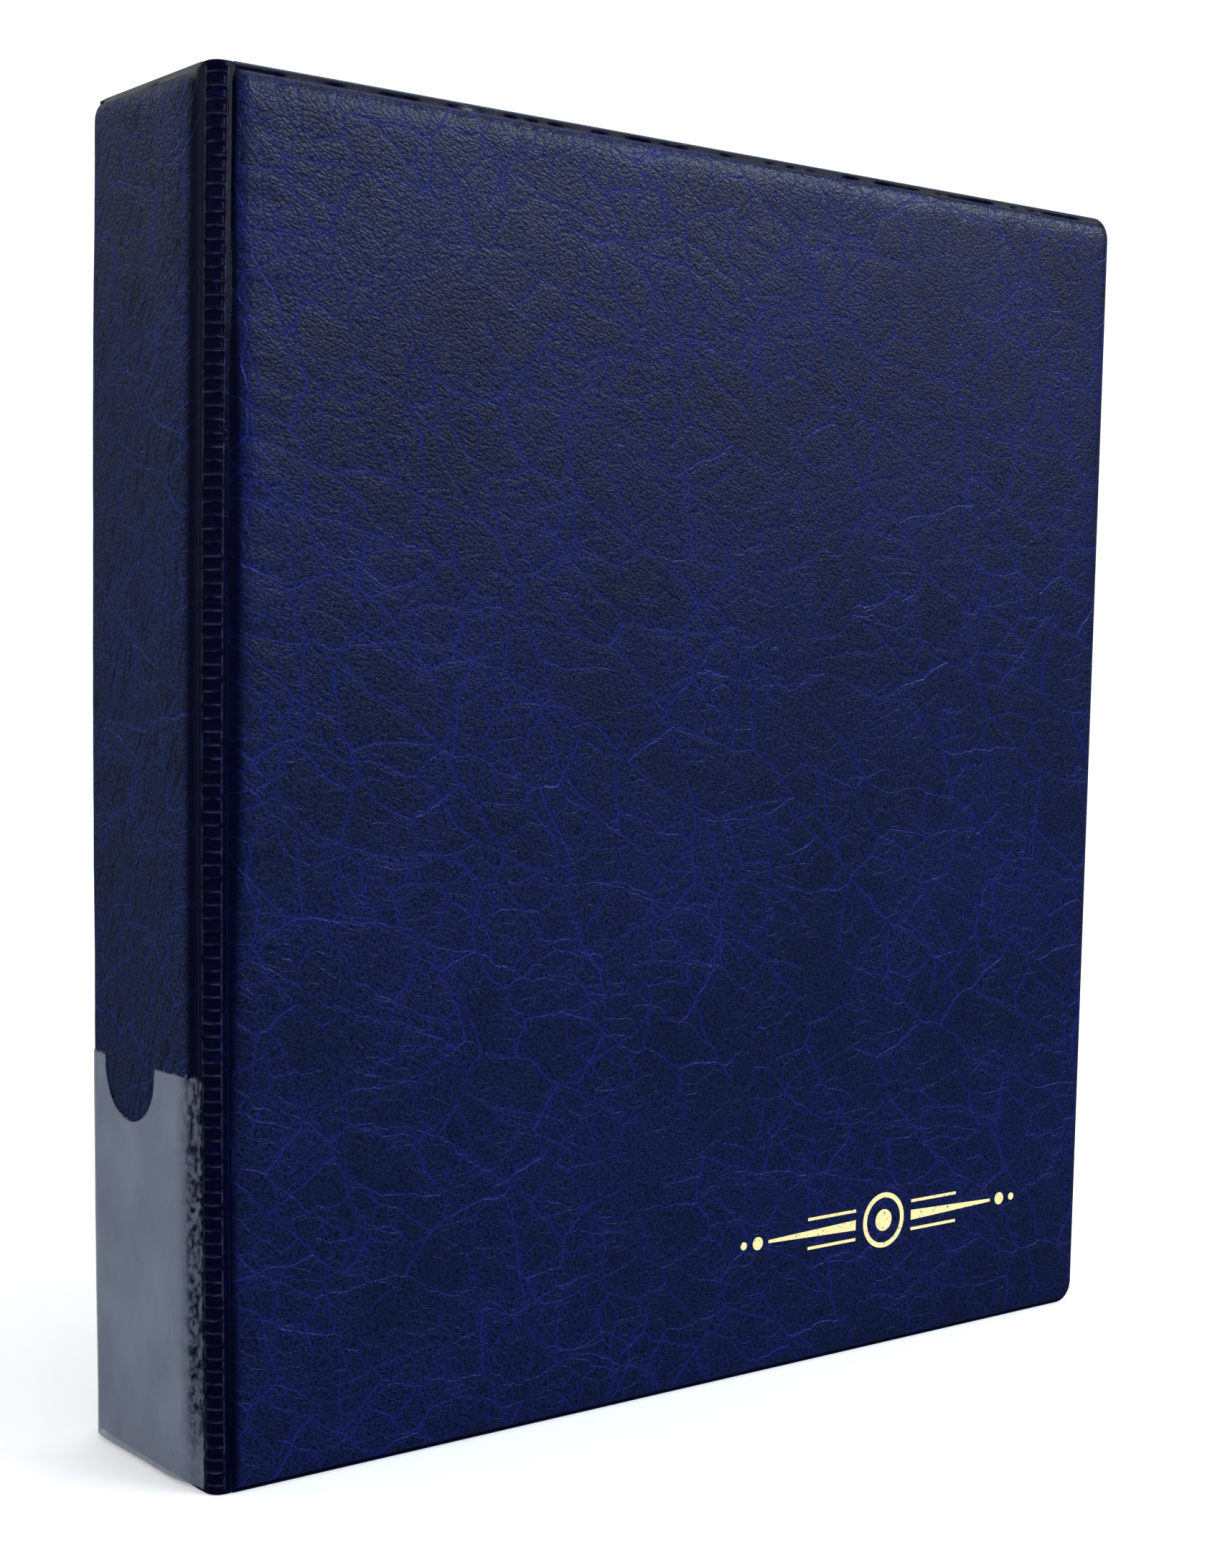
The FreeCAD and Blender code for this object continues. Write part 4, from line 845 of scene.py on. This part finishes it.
def film_section():
    """The film's path over the full spine panel, as (length, y, rise over the spine's rim)."""
    y, rise = [], []
    for turn in np.linspace(FILM_TURNS[0], 0.04, 6):
        x, at = corner_place(FRONT_CORNER_Y, -1, turn, 0.0)
        y.append(at)
        rise.append(SPINE_RIM - x)
    for front, _, _, front_rise, back_full in SPINE_LEVELS[WELD_LEVEL:]:
        y.append(FRONT_CORNER_Y + front)
        rise.append(front_rise)
    for across in np.linspace(12.0, SPINE_WIDTH - 6.5, 12):
        y.append(FRONT_CORNER_Y + across)
        rise.append(front_rise + (back_full - front_rise) * smooth_step(across, *PLATEAU_RISE))
    for _, back, _, _, back_rise in SPINE_LEVELS[:SPINE_RIM_LEVELS:-1]:
        y.append(BACK_CORNER_Y - back)
        rise.append(back_rise)
    for turn in np.linspace(0.44, FILM_TURNS[1], 4):
        x, at = corner_place(BACK_CORNER_Y, 1, turn, 0.0)
        y.append(at)
        rise.append(SPINE_RIM - x)
    length = np.concatenate([[0], np.cumsum(np.hypot(np.diff(y), np.diff(rise)))])
    even = np.arange(0, length[-1], 0.15)
    y, rise = np.interp(even, length, y), np.interp(even, length, rise)
    reach = 3
    kernel = np.full(2 * reach + 1, 1 / (2 * reach + 1))
    y = np.convolve(np.pad(y, reach, mode="edge"), kernel, "valid")
    rise = np.convolve(np.pad(rise, reach, mode="edge"), kernel, "valid")
    return even, y, rise


def label_pocket():
    """Clear film over the foot of the spine, from one ladder to the other, with a thumb notch."""
    length, path_y, path_rise = film_section()
    slope_y, slope_rise = np.gradient(path_y), np.gradient(path_rise)
    steep = np.hypot(slope_y, slope_rise)
    out_y, out_rise = -slope_rise / steep, slope_y / steep
    end = length[-1]
    notch_y = (FRONT_CORNER_Y + BACK_CORNER_Y) / 2 + NOTCH_OFFSET
    notch = np.interp(notch_y, path_y[:-24], length[:-24])  # the path's end turns back in y
    foot, top = film_low[2] - 1.2, film_high[2]
    columns = np.unique(np.concatenate([
        np.linspace(0, 7, 15), np.linspace(7, end - 7, 30), np.linspace(end - 7, end, 24),
        notch + NOTCH_RADIUS * np.cos(np.linspace(0, np.pi, 41)),
        notch + np.array([-1, 1]) * (NOTCH_RADIUS + 0.25)]))
    mouth = np.full(len(columns), top)
    in_notch = np.abs(columns - notch) <= NOTCH_RADIUS + 1e-6
    drop = np.sqrt(np.clip(NOTCH_RADIUS ** 2 - (columns - notch) ** 2, 0, None))
    mouth[in_notch] -= (drop + NOTCH_DEPTH - NOTCH_RADIUS)[in_notch]
    rows = np.concatenate([[0, 0.004, 0.012], np.linspace(0.03, 0.95, 44), [0.975, 0.992, 1.0]])
    along = np.repeat(columns[None, :], len(rows), 0)
    up = foot + rows[:, None] * (mouth - foot)[None, :]
    inset = np.minimum(along, end - along)
    wave = ripple(rows_of(along, up), 9.0, 71.0, 2).reshape(along.shape)

    def surface(lift):
        lift = lift + 0.10 * (1 + wave) * smooth_step(inset, 1.5, 6)
        rise = np.interp(along, length, path_rise)
        rise = np.where(rise > 0.05, rise * fullness(up), rise)
        rise = rise + lift * np.interp(along, length, out_rise)
        y = np.interp(along, length, path_y) + lift * np.interp(along, length, out_y)
        return rows_of(SPINE_RIM - rise, y, up)

    outside, inside = surface(FILM_LIFT + FILM_GAUGE), surface(FILM_LIFT)
    nr, nc = along.shape
    index = np.arange(nr * nc).reshape(nr, nc)
    under = index + nr * nc
    faces = []
    for j in range(nr - 1):
        for i in range(nc - 1):
            faces.append([index[j, i], index[j + 1, i], index[j + 1, i + 1], index[j, i + 1]])
            faces.append([under[j, i], under[j, i + 1], under[j + 1, i + 1], under[j + 1, i]])
    border = [*index[0], *index[1:, -1], *index[-1, -2::-1], *index[-2:0:-1, 0]]
    for k in range(len(border)):
        a, b = border[k], border[(k + 1) % len(border)]
        faces.append([a, b, b + nr * nc, a + nr * nc])
    cling = (1 - smooth_step(along, 3.8, 8.2)) * (1 - 0.5 * (1 - smooth_step(up, foot, foot + 16)))
    edge = (mouth[None, :] - up < 0.3) | (along < 0.2) | (along > end - 0.25)
    zone = np.where(edge, 2.0, np.clip(cling, 0, 1))
    piece = make_piece("spine_label_film", np.vstack([outside, inside]), faces, "spine",
                       label_film, np.vstack([on_sheet(along, up)] * 2),
                       np.concatenate([zone.ravel()] * 2), 60)
    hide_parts("spine_label_pocket")


label_pocket()

# ---------------------------------------------------------------- coin pages

POCKET_COLUMNS, POCKET_ROWS = 4, 5  # less the welds that are level with a ring's hole
POCKET_PARTS = (0.12, 0.3, 0.5, 0.7, 0.88)  # grid lines across a pocket
PAGE_MARGIN = 3.0
HOLE_RADIUS = 3.0
HOLE_POINTS = 32
HOLE_BLOCK = 5.0  # half the square of cells that is opened into a hole
LEAF_CORNER = 3.0


def coin_page(number):
    """One page as two welded films: a punched binding strip, a crease and its pockets."""
    strip_low, strip_high = node_box(f"page_{number}_strip")
    leaf_low, leaf_high = node_box(f"page_{number}_leaf")
    middle = (leaf_low[1] + leaf_high[1]) / 2
    x0, x1, x2 = strip_low[0], strip_high[0], leaf_low[0]
    x3, z0, z1 = leaf_high[0], leaf_low[2], leaf_high[2]
    posts = [np.mean(node_box(f"ring_{k}_post"), axis=0) for k in (1, 2, 3, 4)]
    hole_x, hole_z = posts[0][0], [p[2] for p in posts]
    weld_x = np.linspace(x2 + PAGE_MARGIN, x3 - PAGE_MARGIN, POCKET_COLUMNS + 1)
    weld_z = np.linspace(z0 + PAGE_MARGIN, z1 - PAGE_MARGIN, POCKET_ROWS + 1)
    beside = (-1.6, -0.9, -0.5, 0.5, 0.9, 1.6)
    xs = [x0, x0 + 0.5, x0 + 2, x1 - 1.0, x1 - 0.3, (x1 + x2) / 2, x2 + 0.3, x2 + 1.2, x3 - 0.6, x3]
    xs += [w + d for w in weld_x for d in beside]
    xs += [w + f * (weld_x[1] - weld_x[0]) for w in weld_x[:-1] for f in POCKET_PARTS]
    zs = [z0, z0 + 0.6, z1 - 0.6, z1] + [w + d for w in weld_z for d in beside]
    zs += [w + f * (weld_z[1] - weld_z[0]) for w in weld_z[:-1] for f in POCKET_PARTS]
    # a square block of cells round each hole, to be opened into a circle
    xs = [x for x in xs if not hole_x - HOLE_BLOCK < x < hole_x + HOLE_BLOCK]
    zs = [z for z in zs if not any(h - HOLE_BLOCK < z < h + HOLE_BLOCK for h in hole_z)]
    xs += [hole_x - HOLE_BLOCK, hole_x + HOLE_BLOCK]
    zs += [h + d for h in hole_z for d in (-HOLE_BLOCK, HOLE_BLOCK)]
    xs, zs = np.unique(np.round(xs, 4)), np.unique(np.round(zs, 4))
    points, sheet, zone = [], [], []

    def vertex(x, z):
        weld = max(
            max(1 - abs(x - w) / 1.0 for w in weld_x) if z0 + 2 <= z <= z1 - 2 else 0,
            max(1 - abs(z - w) / 1.0 for w in weld_z) if x >= x2 + 2 else 0, 0)
        margin = x > x2 and (x < weld_x[0] or x > weld_x[-1] or z < weld_z[0] or z > weld_z[-1])
        crease = x1 - 0.1 < x < x2 + 0.1
        if x <= x1:
            half = 0.3
        elif crease:
            half = 0.14
        elif weld > 0.2 or margin:
            half = 0.2
        else:
            column = np.searchsorted(weld_x, x) - 1
            row = np.searchsorted(weld_z, z) - 1
            s = (x - weld_x[column]) / (weld_x[1] - weld_x[0])
            t = (z - weld_z[row]) / (weld_z[1] - weld_z[0])
            half = 0.2 + 0.2 * (16 * s * (1 - s) * t * (1 - t)) ** 0.4
        points.append((x, half, z))
        sheet.append((x, z, 0.0))
        zone.append(1.0 if (weld > 0.45 or margin or crease) else (0.35 if x <= x1 else 0.0))
        return len(points) - 1

    grid = [[vertex(x, z) for x in xs] for z in zs]
    faces = []
    open_cells = {}
    for j in range(len(zs) - 1):
        for i in range(len(xs) - 1):
            centre_x, centre_z = (xs[i] + xs[i + 1]) / 2, (zs[j] + zs[j + 1]) / 2
            hole = [h for h in hole_z if abs(centre_z - h) < 0.1 and abs(centre_x - hole_x) < 0.1]
            corners = [grid[j][i], grid[j][i + 1], grid[j + 1][i + 1], grid[j + 1][i]]
            if hole:
                open_cells[hole[0]] = corners
            else:
                faces.append(corners)
    rims = []
    for h, corners in open_cells.items():
        # a ring of vertices on the hole, joined to the square's corners one side at a time
        turn = [math.pi * (2 * (k + 0.5) / HOLE_POINTS - 0.75) for k in range(HOLE_POINTS)]
        around = [vertex(hole_x + HOLE_RADIUS * math.cos(t), h + HOLE_RADIUS * math.sin(t))
                  for t in turn]
        per_side = HOLE_POINTS // 4
        for side in range(4):
            group = around[side * per_side:(side + 1) * per_side]
            a, b = corners[side], corners[(side + 1) % 4]
            half = per_side // 2
            for k in range(per_side - 1):
                faces.append([a if k < half else b, group[k + 1], group[k]])
            faces.append([a, b, group[half]])
            after = around[((side + 1) * per_side) % HOLE_POINTS]
            faces.append([b, after, group[-1]])
        rims.append(around)
    total = len(points)
    front = np.array(points)
    rear = front * [1, -1, 1]
    place = np.vstack([front, rear])
    place[:, 1] = middle - place[:, 1]
    border = grid[0] + [row[-1] for row in grid[1:]]
    border += grid[-1][-2::-1] + [row[0] for row in grid[-2:0:-1]]
    both = [list(f) for f in faces] + [[v + total for v in f[::-1]] for f in faces]
    for k in range(len(border)):
        a, b = border[k], border[(k + 1) % len(border)]
        both.append([b, a, a + total, b + total])
    for around in rims:
        for k in range(len(around)):
            a, b = around[k], around[(k + 1) % len(around)]
            both.append([a, b, b + total, a + total])
    # rounded outer corners at the leaf's free side
    for z, sign in ((z0, 1), (z1, -1)):
        cx, cz = x3 - LEAF_CORNER, z + sign * LEAF_CORNER
        past = (place[:, 0] > cx) & (sign * (place[:, 2] - cz) < 0)
        dx, dz = place[past, 0] - cx, place[past, 2] - cz
        longest = np.maximum(np.abs(dx), np.abs(dz))
        r = np.hypot(dx, dz)
        place[past, 0] = cx + dx * longest / np.maximum(r, 1e-9)
        place[past, 2] = cz + dz * longest / np.maximum(r, 1e-9)
    piece = make_piece(f"page_{number}_sheet", place, both, None, page_film,
                       sheet + sheet, zone + zone, 60)
    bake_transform(piece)
    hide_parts(f"page_{number}_strip", f"page_{number}_leaf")


for page in (1, 2, 3, 4):
    coin_page(page)

# ---------------------------------------------------------------- finishes of the CAD nodes


def finish_node(name, material):
    mesh = NODES[name].data
    mesh.materials.clear()
    mesh.materials.append(material)


finish_node("front_foil_ornament", gold)
finish_node("ring_housing", nickel)
for end in ("lower", "upper"):
    finish_node(f"{end}_mounting_rivet", nickel)
    finish_node(f"{end}_trigger", nickel)
for ring in (1, 2, 3, 4):
    finish_node(f"ring_{ring}_post", nickel)
    finish_node(f"ring_{ring}_arc", nickel)
finish_node("arc_carrier_blade", rolled_steel)
finish_node("post_carrier_blade", rolled_steel)

# ---------------------------------------------------------------- floor, lights and camera


def floor_material():
    material, g = new_material("studio_floor")
    drift = g.noise(g.mapping(g.add("TexCoord", output="Object"), 0, (0.7, 0.7, 1)))
    g.surface({
        "Base Color": g.mix(drift, rgb(0.90, 0.90, 0.90), rgb(0.93, 0.93, 0.93)),
        "Roughness": 0.9, "Specular IOR Level": 0.1,
        "Emission Color": rgb(1.0, 1.0, 1.0), "Emission Strength": 0.25})
    return material


def studio_floor():
    """Pale floor that curves up into a wall far behind, the same all round."""
    flat, bend_radius = 2.4, 0.8
    wall = flat + bend_radius
    profile = [(0.0, 0.0), (1.0, 0.0), (flat, 0.0)]
    profile += [(flat + bend_radius * math.sin(t), bend_radius * (1 - math.cos(t)))
                for t in np.linspace(0.15, math.pi / 2, 10)]
    profile += [(wall, 1.6), (wall, 2.6)]
    sides = 72
    turns = np.arange(sides) * 2 * math.pi / sides
    points, faces = [(0.0, 0.0, 0.0)], []
    for r, h in profile[1:]:
        points += [(r * math.cos(t), r * math.sin(t), h) for t in turns]
    for k in range(sides):
        n = (k + 1) % sides
        faces.append([0, 1 + k, 1 + n])
        for ring in range(len(profile) - 2):
            a = 1 + ring * sides
            faces.append([a + k, a + sides + k, a + sides + n, a + n])
    mesh = bpy.data.meshes.new("studio_floor")
    mesh.from_pydata(points, [], faces)
    mesh.shade_smooth()
    mesh.materials.append(floor_material())
    floor = bpy.data.objects.new("studio_floor", mesh)
    bpy.context.scene.collection.objects.link(floor)
    floor.visible_glossy = False  # a product shot's vinyl mirrors the lamps and not the table


def soft_light(name, place, target, size, power, colour=(1.0, 1.0, 1.0)):
    data = bpy.data.lights.new(name, "AREA")
    data.shape = "RECTANGLE"
    data.size, data.size_y = size
    data.energy = power
    data.color = colour
    light = bpy.data.objects.new(name, data)
    light.location = place
    light.rotation_euler = (Vector(target) - Vector(place)).to_track_quat("-Z", "Y").to_euler()
    bpy.context.scene.collection.objects.link(light)


studio_floor()
CENTRE = (0.0, 0.0, 0.13)
soft_light("overhead_softbox", (0.4, 0.0, 1.9), CENTRE, (2.2, 1.6), 14)
soft_light("shoulder_softbox", (1.16, -1.28, 1.22), CENTRE, (1.3, 0.24), 26, (0.72, 0.84, 1.0))
soft_light("spine_side_softbox", (-1.1, 1.7, 1.4), CENTRE, (1.2, 1.0), 5)
soft_light("front_softbox", (1.15, -1.6, 0.78), CENTRE, (1.9, 0.50), 8)

world = bpy.data.worlds.new("studio")
world.use_nodes = True
sky = Graph(world.node_tree, world.node_tree.nodes["Background"])
height = sky.add("SeparateXYZ", {0: sky.add("TexCoord", output="Generated")}, "Z")
sky.surface({
    "Color": rgb(0.93, 0.95, 1.0), "Strength": sky.step(height, -0.3, 0.9, 0.06, 0.45)})
bpy.context.scene.world = world

CAMERA_PLACE = Vector((-0.32554, -0.41553, 0.16545))
AZIMUTH, ELEVATION, ROLL = math.radians(52.722), math.radians(-5.446), math.radians(0.944)
camera_data = bpy.data.cameras.new("photo_camera")
camera_data.lens = 53.486
camera_data.sensor_width = 36.0
camera_data.shift_y = 0.0508
camera_data.clip_start, camera_data.clip_end = 0.02, 20.0
camera = bpy.data.objects.new("photo_camera", camera_data)
bpy.context.scene.collection.objects.link(camera)
ahead = Vector((
    math.cos(ELEVATION) * math.cos(AZIMUTH), math.cos(ELEVATION) * math.sin(AZIMUTH),
    math.sin(ELEVATION)))
level_right = Vector((math.sin(AZIMUTH), -math.cos(AZIMUTH), 0.0))
level_up = level_right.cross(ahead)
right = level_right * math.cos(ROLL) + level_up * math.sin(ROLL)
above = level_up * math.cos(ROLL) - level_right * math.sin(ROLL)
columns = right, above, -ahead, CAMERA_PLACE
camera.matrix_world = Matrix(
    [[column[axis] for column in columns] for axis in range(3)] + [[0, 0, 0, 1]])
bpy.context.scene.camera = camera
bpy.context.scene.view_settings.view_transform = "Standard"

bpy.context.view_layer.update()
